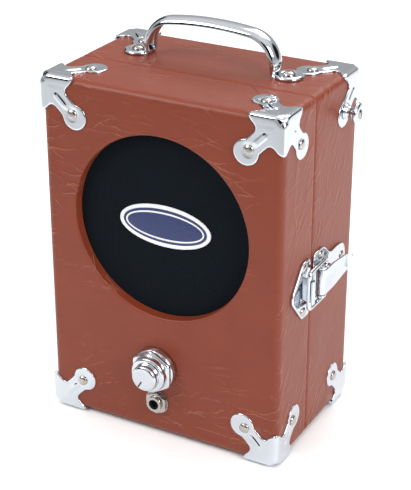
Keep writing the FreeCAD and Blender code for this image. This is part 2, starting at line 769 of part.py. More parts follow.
def knob():
    """Stepped metal knob: round skirt, six-sided collar, round step and crowned cap with a pointer slot."""
    f = front_y
    steps = [(0, f - knob_length), (6.2, f - knob_length), (7.4, f - 15.6), (8.0, f - 14.8),
             (8.1, f - 11.2), (10.0, f - 11.2), (10.7, f - 10.6), (10.8, f - 7.2), (12.2, f - 7.2),
             (12.9, f - 4.8), (13.3, f - 0.5), (8.0, f - 0.5), (8.0, f - 3.6), (0, f - 3.6)]
    body = ring_y(steps, control_x, knob_z)
    collar = prism(hexagon(13.9), 2.2, 0)
    edges = [e for e in collar.Edges if abs(e.BoundBox.ZLength - 2.2) < 1e-6]
    collar = collar.makeFillet(3.5, edges)
    collar.rotate(Vector(0, 0, 0), X, 90)
    collar.rotate(Vector(0, 0, 0), Y, 30)
    collar.translate(Vector(control_x, f - 5.0, knob_z))
    solid = fuse([body, collar.cut(rod(9.0, 40, Vector(control_x, f - 20, knob_z), Y))])
    slot = box(-0.5, 0.5, f - knob_length - 1, f - knob_length + 0.7, 1.5, 9)
    slot.rotate(Vector(0, 0, 0), Y, knob_off_angle)
    slot.translate(Vector(control_x, 0, knob_z))
    solid = solid.cut(slot)
    return solid.cut(rod(shaft_r, 60, Vector(control_x, f - 12.5, knob_z), Y))


def input_jack():
    """Quarter-inch jack socket: threaded bush through the front and a square body behind."""
    b = baffle_back_y + chassis_t
    bush = rod(jack_bush_r, b + 1 - (front_y - 4.6), Vector(control_x, front_y - 4.6, jack_z), Y)
    body = box(control_x - 7.5, control_x + 7.5, b, b + 20, jack_z - 7.5, jack_z + 7.5)
    solid = fuse([bush, body])
    return solid.cut(rod(jack_bore_r, 60, Vector(control_x, front_y - 10, jack_z), Y))


def jack_nut():
    """Hexagon nut and washer on the jack's bush."""
    washer = rod(7.4, 0.5, Vector(control_x, front_y - 0.55, jack_z), Y)
    nut = prism(hexagon(7.2), 2.0, 0)
    nut.rotate(Vector(0, 0, 0), X, 90)
    nut.translate(Vector(control_x, front_y - 0.55, jack_z))
    return fuse([washer, nut]).cut(rod(jack_bush_r, 20, Vector(control_x, front_y - 10, jack_z), Y))


chassis_left = -65.0
chassis_right = 13.0
chassis_low = case_bottom + 9.0
chassis_high = case_bottom + 61.0
board_lift = 7.0


def chassis():
    """Metal plate behind the baffle that holds the pot, the jack and four board posts."""
    b = baffle_back_y
    sheet = box(chassis_left, chassis_right, b, b + chassis_t, chassis_low, chassis_high)
    lip = box(chassis_right - chassis_t, chassis_right, b, b + 14, chassis_low, chassis_high)
    posts = []
    for x in (chassis_left + 4, -22.0):
        for z in (chassis_low + 4, chassis_high - 4):
            posts.append(rod(2.0, board_lift, Vector(x, b, z), Y))
    solid = fuse([sheet, lip] + posts)
    solid = solid.cut(rod(pot_bush_r + 0.1, 5, Vector(control_x, b - 1, knob_z), Y))
    return solid.cut(rod(jack_bush_r + 0.1, 5, Vector(control_x, b - 1, jack_z), Y))


def circuit_board():
    b = baffle_back_y + board_lift
    return box(chassis_left, -18.0, b, b + 1.6, chassis_low, chassis_high)


def transformers():
    """Driver and output transformers: laminated cores with a wound bobbin through each."""
    b = baffle_back_y + board_lift + 1.6
    solids = []
    for z in (chassis_low + 11, chassis_low + 33):
        core = box(-61, -41, b + 2, b + 16, z - 8, z + 8).cut(box(-57, -45, b, b + 20, z - 5, z + 5))
        limb = box(-53.5, -48.5, b + 2, b + 16, z - 5.2, z + 5.2)
        bobbin = box(-56.6, -45.4, b, b + 18, z - 4.6, z + 4.6)
        solids.append(fuse([core, limb, bobbin]))
    return Part.makeCompound(solids)


def capacitors():
    """Upright cans of the power and coupling capacitors."""
    b = baffle_back_y + board_lift + 1.6
    spots = [(-34, 9, 5.0, 15), (-25, 12, 4.0, 12), (-34, 23, 4.0, 11), (-25, 24, 3.2, 9),
             (-35, 36, 5.0, 15), (-26, 40, 3.2, 9)]
    solids = []
    for x, up, r, length in spots:
        can = rod(r, length, Vector(x, b, chassis_low + up), Y)
        rim = [e for e in can.Edges if e.BoundBox.YMin > b + length - 1e-6]
        solids.append(can.makeFillet(0.6, rim))
    return Part.makeCompound(solids)


wire_r = 0.8
cell_r = 7.05
cell_length = 49.2
box_left = 17.0
cell_pitch = 14.7
box_wall = 1.5
box_low = case_bottom + wall + 0.4
box_height = 56.0


def battery_box():
    """Open-backed holder for two rows of three cells."""
    b = baffle_back_y
    right = box_left + 3 * cell_pitch + 2 * box_wall
    depth = 2 * cell_pitch + box_wall
    outer = box(box_left, right, b, b + depth, box_low, box_low + box_height)
    inner = box(box_left + box_wall, right - box_wall, b + box_wall, b + depth + 5,
                box_low + box_wall, box_low + box_height - box_wall)
    return outer.cut(inner)


def battery_cells():
    """Six AA cells, stood upright in two rows."""
    solids = []
    z0 = box_low + box_wall + 1.2
    for row in range(2):
        for k in range(3):
            x = box_left + box_wall + cell_pitch * (k + 0.5)
            y = baffle_back_y + box_wall + cell_pitch * (row + 0.5)
            can = rod(cell_r, cell_length, Vector(x, y, z0), Z)
            can = can.makeFillet(0.8, [e for e in can.Edges if e.Closed])
            button = rod(2.6, 1.2, Vector(x, y, z0 + cell_length), Z)
            solids.append(fuse([can, button]))
    return Part.makeCompound(solids)


def hookup_wires():
    """Short insulated wires between the board, the controls, the batteries and the speaker."""
    face = baffle_back_y + board_lift + 1.6
    low = chassis_low
    routes = [
        [(-21.0, face, low + 48), (-21.0, face + 7, low + 48), (box_left, face + 7, low + 48)],
        [(-30.0, face, low + 49), (-30.0, face + 8, low + 49), (-30.0, face + 8, opening_z - 33)],
        [(-19.2, face, low + 24), (-19.2, face + 4, low + 24), (-13.0, face + 4, low + 24),
         (-13.0, face - 3.4, low + 24), (control_x - 6, face - 3.4, low + 24)],
        [(-19.2, face, low + 13), (-19.2, face + 6, low + 13), (control_x - 7.5, face + 6, low + 13)],
    ]
    solids = [tube(route, wire_r, 1.8) for route in routes]
    return Part.makeCompound(solids)


# ---- write every node ---------------------------------------------------------------------
def main():
    nodes = {}
    for side, parts in (("front", front_half_boards()), ("rear", rear_half_boards())):
        for name, shape in parts.items():
            plain = name in ("baffle", "back_panel")
            nodes[name if plain else side + "_" + name] = shape

    master = corner_plate()
    nails = {"front": [], "rear": []}
    base_nails = {"front": [], "rear": []}
    for rear in (False, True):
        half = "rear" if rear else "front"
        for top in (False, True):
            for right in (False, True):
                name = "_".join([half, "corner", "top" if top else "bottom", "right" if right else "left"])
                nodes[name] = placed(master, right, rear, top)
                upright, facing, sideways = corner_nail_places(right, rear, top)
                (nails if top else base_nails)[half].append(nail(*upright))
                nails[half].append(nail(*facing))
                if not (rear and top):
                    nails[half].append(nail(*sideways))
    for at, out in hinge_nail_places(True) + keeper_nails():
        nails["front"].append(nail(at, out))
    for at, out in hinge_nail_places(False) + latch_base_nails():
        nails["rear"].append(nail(at, out))
    for half in ("front", "rear"):
        nodes[half + "_nails"] = Part.makeCompound(nails[half])
        nodes[half + "_base_nails"] = Part.makeCompound(base_nails[half])

    nodes["handle"] = handle()
    nodes["handle_screws"] = handle_screws()
    nodes["strap_buttons"] = Part.makeCompound([strap_button(-1), strap_button(1)])
    nodes["front_hinge_leaves"] = hinge_leaves(True)
    nodes["rear_hinge_leaves"] = hinge_leaves(False)
    nodes["hinge_pins"] = hinge_pins()
    nodes["latch_base"] = latch_base()
    nodes["latch_pin"] = latch_pin()
    nodes["latch_lever"] = latch_lever()
    nodes["latch_bail"] = latch_bail()
    nodes["latch_keeper"] = latch_keeper()
    nodes["grille_cloth"] = grille_cloth()
    nodes["badge"] = badge()
    nodes.update(speaker_parts())
    nodes["knob"] = knob()
    nodes["pot_shaft"] = pot_shaft()
    nodes["volume_pot"] = volume_pot()
    nodes["input_jack"] = input_jack()
    nodes["jack_nut"] = jack_nut()
    nodes["chassis"] = chassis()
    nodes["circuit_board"] = circuit_board()
    nodes["transformers"] = transformers()
    nodes["capacitors"] = capacitors()
    nodes["battery_box"] = battery_box()
    nodes["battery_cells"] = battery_cells()
    nodes["hookup_wires"] = hookup_wires()
    for name, shape in nodes.items():
        shape.exportStep(os.path.join("parts", name + ".step"))


main()
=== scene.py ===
"""Looks of a small battery practice amplifier in a latched, hinged case covered in red-brown vinyl.

Shapes are worked out in millimetres, +Z up, the front towards -Y and +X to the right as seen from
the front, and are turned into metres as each mesh is made.
"""
import itertools
import json
import math
import bpy
import numpy as np
from mathutils import Matrix, Vector


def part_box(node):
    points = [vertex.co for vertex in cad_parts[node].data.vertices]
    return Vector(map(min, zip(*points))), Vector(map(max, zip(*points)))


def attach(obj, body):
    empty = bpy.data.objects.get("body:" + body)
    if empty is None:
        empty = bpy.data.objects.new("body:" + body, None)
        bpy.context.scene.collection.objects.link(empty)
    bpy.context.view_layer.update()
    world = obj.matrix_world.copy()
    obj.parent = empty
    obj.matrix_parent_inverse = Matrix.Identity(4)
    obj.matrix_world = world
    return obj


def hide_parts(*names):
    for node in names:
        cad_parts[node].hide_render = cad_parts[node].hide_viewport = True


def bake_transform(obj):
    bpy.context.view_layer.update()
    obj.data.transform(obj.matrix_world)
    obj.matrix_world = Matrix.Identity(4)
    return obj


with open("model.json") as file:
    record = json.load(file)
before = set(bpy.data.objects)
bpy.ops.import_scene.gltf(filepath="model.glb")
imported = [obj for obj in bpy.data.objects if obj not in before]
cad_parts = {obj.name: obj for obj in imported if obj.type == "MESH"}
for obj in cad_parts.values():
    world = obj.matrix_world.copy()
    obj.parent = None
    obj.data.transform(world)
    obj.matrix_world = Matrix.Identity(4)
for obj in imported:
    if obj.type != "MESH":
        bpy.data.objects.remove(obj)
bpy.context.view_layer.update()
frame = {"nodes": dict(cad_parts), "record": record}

MM = 0.001
X, Y, Z = np.eye(3)


def node_box(name):
    """Lowest and highest corner of a CAD node in millimetres."""
    low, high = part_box(name)
    return np.array(low) / MM, np.array(high) / MM


front_low, front_high = node_box("front_covering")
rear_low, rear_high = node_box("rear_covering")
# Faces of the case as packed, then the sizes laid out from them.
half_width = front_high[0]
case_bottom, case_top = front_low[2], front_high[2]
mid_z = (case_bottom + case_top) / 2
front_y, front_rim = front_low[1], front_high[1]
rear_rim, rear_y = rear_low[1], rear_high[1]
seam_y = (front_rim + rear_rim) / 2
edge_r = 4.0
wall = 6.8
skin = 0.8
opening_r = 55.0
opening_z = case_bottom + 131.5
baffle_back = front_y + 6.5
control_x = -3.0
knob_z = case_bottom + 43.5
jack_z = case_bottom + 20.5
latch_z = case_bottom + 100.0
handle_y = front_y + 60.5
foot_x = 48.0
cloth_r = 58.0
plate_face = 0.95
plate_air = 0.05


# ---- meshes from grids ----
def grid(points, wrap_rows=False, wrap_cols=False):
    """Quads between neighbours of a grid of points, turned so that they face outwards."""
    rows, cols = points.shape[:2]
    index = np.arange(rows * cols).reshape(rows, cols)
    if wrap_rows:
        index = np.vstack([index, index[:1]])
    if wrap_cols:
        index = np.hstack([index, index[:, :1]])
    quads = np.stack([index[:-1, :-1], index[1:, :-1], index[1:, 1:], index[:-1, 1:]], -1)
    return outward(points.reshape(-1, 3), quads.reshape(-1, 4))


def outward(points, quads):
    """The same shell with its faces turned over if its signed volume about its middle is negative."""
    corner = points[quads] - points.mean(0)
    first = np.cross(corner[:, 1], corner[:, 2])
    second = np.cross(corner[:, 2], corner[:, 3])
    volume = (corner[:, 0] * (first + second)).sum()
    return points, (quads if volume >= 0 else quads[:, ::-1])


def faced(shell, out):
    """The same open surface, turned over if its summed normals point away from out."""
    points, quads = shell
    corner = points[quads]
    total = np.cross(corner[:, 2] - corner[:, 0], corner[:, 3] - corner[:, 1]).sum(0)
    return points, (quads if total @ np.asarray(out, float) > 0 else quads[:, ::-1])


def unit(vectors):
    """The same vectors, each at length one."""
    return vectors / np.linalg.norm(vectors, axis=-1, keepdims=True)


def join(shells):
    """One list of points and quads from several shells."""
    starts = np.cumsum([0] + [len(p) for p, _ in shells])
    return (np.vstack([p for p, _ in shells]),
            np.vstack([q + s for (_, q), s in zip(shells, starts)]))


def welded(points, quads):
    """Points within a hundredth of a millimetre become one, and quads that shrink to a line go."""
    keys = np.round(points * 100).astype(np.int64)
    _, first, back = np.unique(keys, axis=0, return_index=True, return_inverse=True)
    points, quads = points[first], back.ravel()[quads]
    same = quads == np.roll(quads, -1, axis=1)
    folded = (quads[:, 0] == quads[:, 2]) | (quads[:, 1] == quads[:, 3])
    keep = (same.sum(1) <= 1) & ~folded
    return points, quads[keep], same[keep]


def shown(name, data):
    """New object in the scene."""
    made = bpy.data.objects.new(name, data)
    bpy.context.scene.collection.objects.link(made)
    return made


def piece(name, shell, body, slot, stands_for=(), lay=None, crisp=32.0, look=None):
    """Object from a shell: welded, shaded smooth up to the crisp angle, riding on its body if it has one.

    It wears its slot's finish unless it is given a look of its own.
    """
    points, quads, same = welded(*shell)
    sizes = 4 - same.sum(1)
    loops = quads[~same]
    mesh = bpy.data.meshes.new(name)
    mesh.vertices.add(len(points))
    mesh.vertices.foreach_set("co", (points * MM).ravel())
    mesh.loops.add(len(loops))
    mesh.loops.foreach_set("vertex_index", loops)
    mesh.polygons.add(len(sizes))
    mesh.polygons.foreach_set("loop_start", np.r_[0, np.cumsum(sizes)[:-1]])
    mesh.polygons.foreach_set("use_smooth", np.ones(len(sizes), bool))
    mesh.update(calc_edges=True)
    mesh.validate()
    mesh.set_sharp_from_angle(angle=math.radians(crisp))
    if lay is not None:
        normals = np.zeros(len(sizes) * 3)
        mesh.polygons.foreach_get("normal", normals)
        flat = lay(points[loops], np.repeat(normals.reshape(-1, 3), sizes, axis=0))
        sheet = mesh.uv_layers.new(name="sheet")
        sheet.data.foreach_set("uv", flat.ravel())
    mesh.materials.append(look or finish[slot])
    made = shown(name, mesh)
    if body:
        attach(made, body)
    if stands_for:
        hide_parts(*stands_for)
    return made


def rounded(points, reach, steps=4):
    """Open line with each corner replaced by a parabola that starts and ends reach away from it."""
    points = np.asarray(points, float)
    before, here, after = points[:-2], points[1:-1], points[2:]

    def toward(other):
        """Points reach along the way to the other corners, and never past the middle."""
        gap = np.linalg.norm(other - here, axis=1, keepdims=True)
        return here + (other - here) * np.minimum(reach / gap, 0.48)
    start, end = toward(before)[:, None], toward(after)[:, None]
    t = np.linspace(0, 1, steps)[None, :, None]
    bends = (1 - t) ** 2 * start + 2 * t * (1 - t) * here[:, None] + t ** 2 * end
    return np.vstack([points[:1], bends.reshape(-1, points.shape[1]), points[-1:]])


def axes_for(out):
    """Two unit directions square to out that make a right-handed set with it."""
    out = np.asarray(out, float)
    first = np.cross(out, Z if abs(out[2]) < 0.9 else X)
    first /= np.linalg.norm(first)
    return first, np.cross(out, first), out


def turned(profile, at, out, count=48, sides=0, power=14.0):
    """Profile of (radius, height) or (radius, height, sixness) carried round the axis out through at.

    Radius is r times (1 - s + s * h), where h is a rounded hexagon of inner radius 1.
    """
    profile = np.asarray(profile, float)
    angle = np.linspace(0, 2 * math.pi, count, endpoint=False)
    first, second, out = axes_for(out)
    reach = np.ones((len(profile), count))
    if sides:
        share = np.cos(angle[:, None] - 2 * math.pi / sides * np.arange(sides)[None])
        hexagon = (np.maximum(share, 0) ** power).sum(1) ** (-1 / power)
        reach = 1 + profile[:, 2:3] * (hexagon[None] - 1)
    radius = (profile[:, :1] * reach)[..., None]
    ring = np.cos(angle)[:, None] * first + np.sin(angle)[:, None] * second
    points = np.asarray(at, float) + radius * ring[None] + profile[:, 1, None, None] * out
    return grid(points, wrap_cols=True)


def swept(section, path, across):
    """Closed sections of (across, away) points, one for each point of a flat path, capped at both ends.

    Point = path + across * first + away * normal, where normal is across x tangent.
    """
    normal = np.cross(across, unit(np.gradient(path, axis=0)))
    points = path[:, None] + section[..., :1] * across + section[..., 1:] * normal[:, None]
    caps = [end.mean(1, keepdims=True).repeat(points.shape[1], 1) for end in (points[:1], points[-1:])]
    return grid(np.vstack([caps[0], points, caps[1]]), wrap_cols=True)


def round_wire(path, radius, count=14):
    """Round wire: a circle carried along a path, turned with the least twist, closed at both ends."""
    path = np.asarray(path, float)
    tangent = unit(np.gradient(path, axis=0))
    side = unit(np.cross(tangent, X + 0.31 * Z))
    over = np.cross(tangent, side)
    angle = np.linspace(0, 2 * math.pi, count, endpoint=False)[None, :, None]
    ring = path[:, None] + radius * (np.cos(angle) * side[:, None] + np.sin(angle) * over[:, None])
    caps = [end.repeat(count, 1) for end in (path[:1, None], path[-1:, None])]
    return grid(np.vstack([caps[0], ring, caps[1]]), wrap_cols=True)


def slab(outline, profile, place, middle):
    """Flat plate on a closed outline: each ring is the outline drawn towards a middle point by an inset.

    profile lists (inset, height) from the underside's edge over the top to its middle; place turns
    (u, v, height) into a point.
    """
    outline = np.asarray(outline, float)
    inward = np.asarray(middle, float)[None] - outline
    length = np.linalg.norm(inward, axis=1, keepdims=True)
    low, high = profile[0][1], profile[-1][1]
    levels = [(length, low)] + profile + [(length * 0.6, high), (length, high)]
    points = np.array([place(np.column_stack([outline + inward * (np.minimum(i, length) / length),
                                              np.full(len(outline), h)])) for i, h in levels])
    return grid(points, wrap_cols=True)


def sheet_edge(thickness, soft=0.22):
    """Profile of a plain plate whose upper and lower edges are rounded off."""
    return [(soft, 0.0), (soft * 0.3, soft * 0.3), (0.0, soft), (0.0, thickness - soft),
            (soft * 0.3, thickness - soft * 0.3), (soft, thickness)]


def closed(points, reach, steps=5):
    """Closed outline with each corner rounded as in rounded."""
    points = np.asarray(points, float)
    ring = np.vstack([(points[-1] + points[0]) / 2, points, (points[-1] + points[0]) / 2])
    return rounded(ring, reach, steps)[:-1]


# ---- finishes ----
def add(tree, kind, inputs=(), out=0, **settings):
    """New shader node with its settings and inputs; gives the chosen output."""
    made = tree.nodes.new("ShaderNode" + kind)
    for key, value in settings.items():
        setattr(made, key, value)
    for key, value in dict(inputs).items():
        if isinstance(value, bpy.types.NodeSocket):
            tree.links.new(value, made.inputs[key])
        else:
            made.inputs[key].default_value = value
    return made.outputs[out]


def sums(tree, operation, a, b=0.0, c=0.0):
    """One arithmetic step on up to three values."""
    return add(tree, "Math", {0: a, 1: b, 2: c}, operation=operation)


def times(tree, a, b):
    """Product of two values."""
    return sums(tree, "MULTIPLY", a, b)


def apart(tree, a, b):
    """Distance between two values."""
    return sums(tree, "ABSOLUTE", sums(tree, "SUBTRACT", a, b))


def part_of(tree, vector, axis):
    """One component of a vector."""
    return add(tree, "SeparateXYZ", {"Vector": vector}, out=axis)


def spread(tree, value, low, high, to_low, to_high):
    """Value carried from one range to another and held inside it."""
    return add(tree, "MapRange", {"Value": value, 1: low, 2: high, 3: to_low, 4: to_high})


def placed(tree, vector, **settings):
    """Vector turned or scaled by a mapping."""
    return add(tree, "Mapping", {"Vector": vector, **settings})


def noise(tree, where, scale, detail=3.0, rough=0.55, warp=0.0):
    """Cloudy noise between 0 and 1 at a scale per millimetre."""
    return add(tree, "TexNoise", {"Vector": where, "Scale": scale, "Detail": detail,
                                  "Roughness": rough, "Distortion": warp})


def ramp(tree, value, stops):
    """Colour ramp on a value; stops are (place, grey or colour)."""
    made = tree.nodes.new("ShaderNodeValToRGB")
    band = made.color_ramp
    while len(band.elements) < len(stops):
        band.elements.new(0.5)
    for element, (place, colour) in zip(band.elements, stops):
        element.position = place
        shade = (colour,) * 3 if isinstance(colour, (int, float)) else tuple(colour)
        element.color = shade + (1.0,)
    tree.links.new(value, made.inputs[0])
    return made.outputs[0]


def mixed(tree, share, a, b, blend="MIX"):
    """Colour a share of the way from a to b."""
    made = tree.nodes.new("ShaderNodeMix")
    made.data_type = "RGBA"
    made.blend_type = blend
    for socket, value in ((made.inputs[0], share), (made.inputs[6], a), (made.inputs[7], b)):
        if isinstance(value, bpy.types.NodeSocket):
            tree.links.new(value, socket)
        else:
            socket.default_value = value if isinstance(value, float) else tuple(value) + (1.0,)
    return made.outputs[2]


def start_finish(name, roughness, metallic=0.0, more=()):
    """Material with a plain shader, and object coordinates in millimetres to pattern it by."""
    material = bpy.data.materials.new(name)
    material.use_nodes = True
    tree = material.node_tree
    shader = tree.nodes["Principled BSDF"]
    for key, value in {"Roughness": roughness, "Metallic": metallic, **dict(more)}.items():
        shader.inputs[key].default_value = value
    spot = tree.nodes.new("ShaderNodeTexCoord").outputs["Object"]
    where = placed(tree, spot, Scale=(1000, 1000, 1000))
    return material, tree, shader, where


def bumped(tree, shader, height, distance, under=None):
    """Bump of a height over a distance in millimetres, laid over the bump under it."""
    inputs = {"Height": height, "Distance": distance * MM, "Strength": 1.0}
    if under is not None:
        inputs["Normal"] = under
    normal = add(tree, "Bump", inputs)
    tree.links.new(normal, shader.inputs["Normal"])
    return normal


def metal(name, colour, roughness, smudge, wave, scratch=0.0):
    """Plated metal: faint long ripples from the press, smudges in its gloss, and fine scratches."""
    material, tree, shader, where = start_finish(name, roughness, 1.0)
    cloud = noise(tree, where, 0.09, 4.0, 0.6)
    tint = mixed(tree, cloud, [c * 0.93 for c in colour], [min(1.0, c * 1.05) for c in colour])
    tree.links.new(tint, shader.inputs["Base Color"])
    gloss = spread(tree, noise(tree, where, 0.3, 5.0, 0.65), 0.35, 0.7, roughness, roughness + smudge)
    tree.links.new(gloss, shader.inputs["Roughness"])
    normal = bumped(tree, shader, noise(tree, where, 0.16, 2.0), wave)
    if scratch:
        long = placed(tree, where, Rotation=(0.3, 0.5, 0.7), Scale=(9.0, 0.25, 9.0))
        bumped(tree, shader, noise(tree, long, 1.0, 3.0, 0.7), scratch, under=normal)
    return material


def vinyl():
    """Leathery vinyl: pebbled grain, faint drawn streaks and long ridged creases, more of them on the sides.

    A crease is where v / spacing + noise is a whole number, with v across the sheet, for three directions.
    Creases are broken into strokes and kept only inside slow patches. They stand proud and carry a painted
    highlight along each ridge; a thin painted highlight also runs along the front half's folded rim at the
    seam, on the sides only. The drawn streaks are painted paler, twice as strongly on the sides, as a painted
    sheen. A mitre cut runs along each front corner's diagonal to the seam, on top and below.
    """
    material, tree, shader, where = start_finish("red_brown_vinyl", 0.40, more={"Specular IOR Level": 0.34})
    facing = tree.nodes.new("ShaderNodeTexCoord").outputs["Normal"]
    sideways = sums(tree, "ABSOLUTE", part_of(tree, facing, 0))
    upright = sums(tree, "ABSOLUTE", part_of(tree, facing, 2))
    across = sums(tree, "ABSOLUTE", part_of(tree, where, 0))
    depth = part_of(tree, where, 1)
    sheet = add(tree, "UVMap", uv_map="sheet")
    wobble = add(tree, "TexNoise", {"Vector": sheet, "Scale": 0.11, "Detail": 3.0}, out=1)
    moved = add(tree, "VectorMath", {0: wobble, 1: (5.0, 5.0, 0.0), 2: sheet}, operation="MULTIPLY_ADD")
    gaps = []
    for turn, spacing in ((0.0, 12.0), (0.34, 17.0), (-0.26, 15.0)):
        laid = placed(tree, moved, Rotation=(0, 0, turn))
        phase = sums(tree, "MULTIPLY_ADD", part_of(tree, laid, 1), 1 / spacing,
                     times(tree, noise(tree, laid, 0.017, 1.0), 2.6))
        gaps.append(times(tree, sums(tree, "PINGPONG", phase, 0.5), spacing))
    off = sums(tree, "MINIMUM", sums(tree, "MINIMUM", gaps[0], gaps[1]), gaps[2])
    line = ramp(tree, off, [(0.0, 1.0), (0.16, 0.8), (0.42, 0.0)])
    near = ramp(tree, times(tree, off, 0.5), [(0.0, 1.0), (0.9, 0.0)])
    slow = sums(tree, "MULTIPLY_ADD", sideways, 0.10, noise(tree, where, 0.019, 2.0))
    patch = ramp(tree, slow, [(0.49, 0.0), (0.60, 1.0)])
    broken = ramp(tree, noise(tree, sheet, 0.085, 3.0, 0.7), [(0.42, 0.0), (0.54, 1.0)])
    patch = times(tree, patch, broken)
    crease = times(tree, line, patch)
    swell = times(tree, near, patch)
    drawn = placed(tree, moved, Scale=(0.07, 0.50, 1.0))
    streak = noise(tree, drawn, 1.0, 4.0, 0.6, 0.5)
    pebble = add(tree, "TexVoronoi", {"Vector": where, "Scale": 1.3, "Randomness": 1.0}, feature="SMOOTH_F1")
    tone = mixed(tree, noise(tree, where, 0.03, 4.0, 0.6), (0.160, 0.0275, 0.0105), (0.212, 0.0385, 0.0155))
    # painted sheen: the drawn streaks are lightened, twice as much on the sides as on the front and top
    pale = times(tree, ramp(tree, streak, [(0.42, 0.0), (0.80, 1.0)]),
                 sums(tree, "MULTIPLY_ADD", sideways, 0.14, 0.14))
    tone = mixed(tree, pale, tone, (0.28, 0.060, 0.030))
    # painted highlight: the creases are lightened along their ridges
    tone = mixed(tree, times(tree, crease, 0.42), tone, (0.46, 0.175, 0.10))
    # painted highlight: a thin paler line along the front half's rim at the seam, on the sides only
    rim = apart(tree, depth, front_rim - 0.35)
    rim_highlight_on_sides = times(tree, ramp(tree, rim, [(0.0, 0.8), (0.35, 0.6), (0.75, 0.0)]), sideways)
    tone = mixed(tree, rim_highlight_on_sides, tone, (0.48, 0.20, 0.13))
    diagonal = apart(tree, sums(tree, "ADD", across, depth), half_width + front_y)
    lid = times(tree, sums(tree, "GREATER_THAN", upright, 0.8), sums(tree, "LESS_THAN", depth, front_rim))
    cut = times(tree, ramp(tree, diagonal, [(0.0, 1.0), (0.2, 0.9), (0.45, 0.0)]), lid)
    tone = mixed(tree, times(tree, cut, 0.8), tone, (0.035, 0.008, 0.004))
    tree.links.new(tone, shader.inputs["Base Color"])
    gloss = spread(tree, streak, 0.3, 0.7, 0.35, 0.45)
    tree.links.new(gloss, shader.inputs["Roughness"])
    soft = bumped(tree, shader, noise(tree, where, 0.05, 2.0), 0.6)
    folds = bumped(tree, shader, swell, 0.22, under=soft)
    ridges = bumped(tree, shader, sums(tree, "SUBTRACT", crease, cut), 0.16, under=folds)
    streaks = bumped(tree, shader, streak, 0.05, under=ridges)
    bumped(tree, shader, pebble, 0.05, under=streaks)
    return material


def twill():
    """Black speaker cloth: 45 degree twill ribs, broken across into single threads."""
    nap = {"Specular IOR Level": 0.06, "Sheen Weight": 0.015, "Sheen Roughness": 0.5,
           "Sheen Tint": (0.30, 0.45, 0.60, 1.0)}
    material, tree, shader, _ = start_finish("black_twill", 0.92, more=nap)
    sheet = add(tree, "UVMap", uv_map="sheet")
    turn = placed(tree, sheet, Rotation=(0, 0, math.radians(45)))
    rib = add(tree, "TexWave", {"Vector": turn, "Scale": 0.36, "Distortion": 0.25, "Detail": 1.0}, out=1,
              bands_direction="X")
    thread = add(tree, "TexWave", {"Vector": sheet, "Scale": 0.9, "Distortion": 0.4, "Detail": 1.0}, out=1,
                 bands_direction="Y")
    weave = sums(tree, "ADD", times(tree, rib, 0.75), times(tree, thread, 0.25))
    tone = mixed(tree, weave, (0.0016, 0.0024, 0.0036), (0.010, 0.014, 0.019))
    tree.links.new(tone, shader.inputs["Base Color"])
    bumped(tree, shader, weave, 0.18)
    return material


def grained(name, dark, light, scale, roughness, distance, stretch=(1, 1, 1), detail=4.0, coat=0.0):
    """Matte or satin finish: noise that may be stretched, from a dark to a light tone, with its bump."""
    lacquer = {"Coat Weight": coat, "Coat Roughness": 0.12}
    material, tree, shader, where = start_finish(name, roughness, more=lacquer)
    drawn = placed(tree, where, Scale=stretch)
    field = noise(tree, drawn, scale, detail, 0.6)
    tone = mixed(tree, ramp(tree, field, [(0.3, 0.0), (0.7, 1.0)]), dark, light)
    tree.links.new(tone, shader.inputs["Base Color"])
    gloss = spread(tree, field, 0.2, 0.8, roughness - 0.06, roughness + 0.06)
    tree.links.new(gloss, shader.inputs["Roughness"])
    bumped(tree, shader, field, distance)
    return material


def plywood():
    """Raw plywood: long wavering grain along Z, with pores."""
    material, tree, shader, where = start_finish("raw_plywood", 0.62)
    drawn = placed(tree, where, Scale=(0.30, 0.30, 0.022))
    grain = noise(tree, drawn, 1.0, 6.0, 0.62, 1.4)
    pore = noise(tree, placed(tree, where, Scale=(3.0, 3.0, 0.2)), 1.0, 3.0, 0.7)
    tone = mixed(tree, ramp(tree, grain, [(0.34, 0.0), (0.66, 1.0)]), (0.36, 0.20, 0.09), (0.60, 0.41, 0.23))
    tone = mixed(tree, ramp(tree, pore, [(0.60, 0.0), (0.72, 0.5)]), tone, (0.20, 0.11, 0.05))
    tree.links.new(tone, shader.inputs["Base Color"])
    bumped(tree, shader, pore, 0.05)
    return material


def circuit_green():
    """Board lacquer with copper tracks on a square layout showing through it."""
    material, tree, shader, where = start_finish("board_lacquer", 0.34)
    cell = add(tree, "TexBrick", {"Vector": placed(tree, where, Rotation=(math.pi / 2, 0, 0)),
                                  "Scale": 0.22, "Mortar Size": 0.05, "Bias": 0.0}, out=1)
    tone = mixed(tree, cell, (0.02, 0.10, 0.035), (0.10, 0.22, 0.05))
    tone = mixed(tree, noise(tree, where, 0.5, 3.0), tone, (0.03, 0.12, 0.05))
    tree.links.new(tone, shader.inputs["Base Color"])
    bumped(tree, shader, cell, 0.04)
    return material


def jacket():
    """Battery jackets: dark body, a metallic band round the upper end, with print-free bare edges."""
    material, tree, shader, where = start_finish("cell_jacket", 0.24, 0.75)
    height = part_of(tree, where, 2)
    share = sums(tree, "DIVIDE", sums(tree, "SUBTRACT", height, case_bottom + 9.0), 52.0)
    band = ramp(tree, share, [(0.0, 0.9), (0.03, 0.0), (0.66, 0.0), (0.665, 1.0), (0.97, 1.0), (0.98, 0.3)])
    tone = mixed(tree, band, (0.012, 0.012, 0.016), (0.62, 0.36, 0.13))
    tree.links.new(tone, shader.inputs["Base Color"])
    bumped(tree, shader, noise(tree, where, 1.4, 3.0), 0.01)
    return material


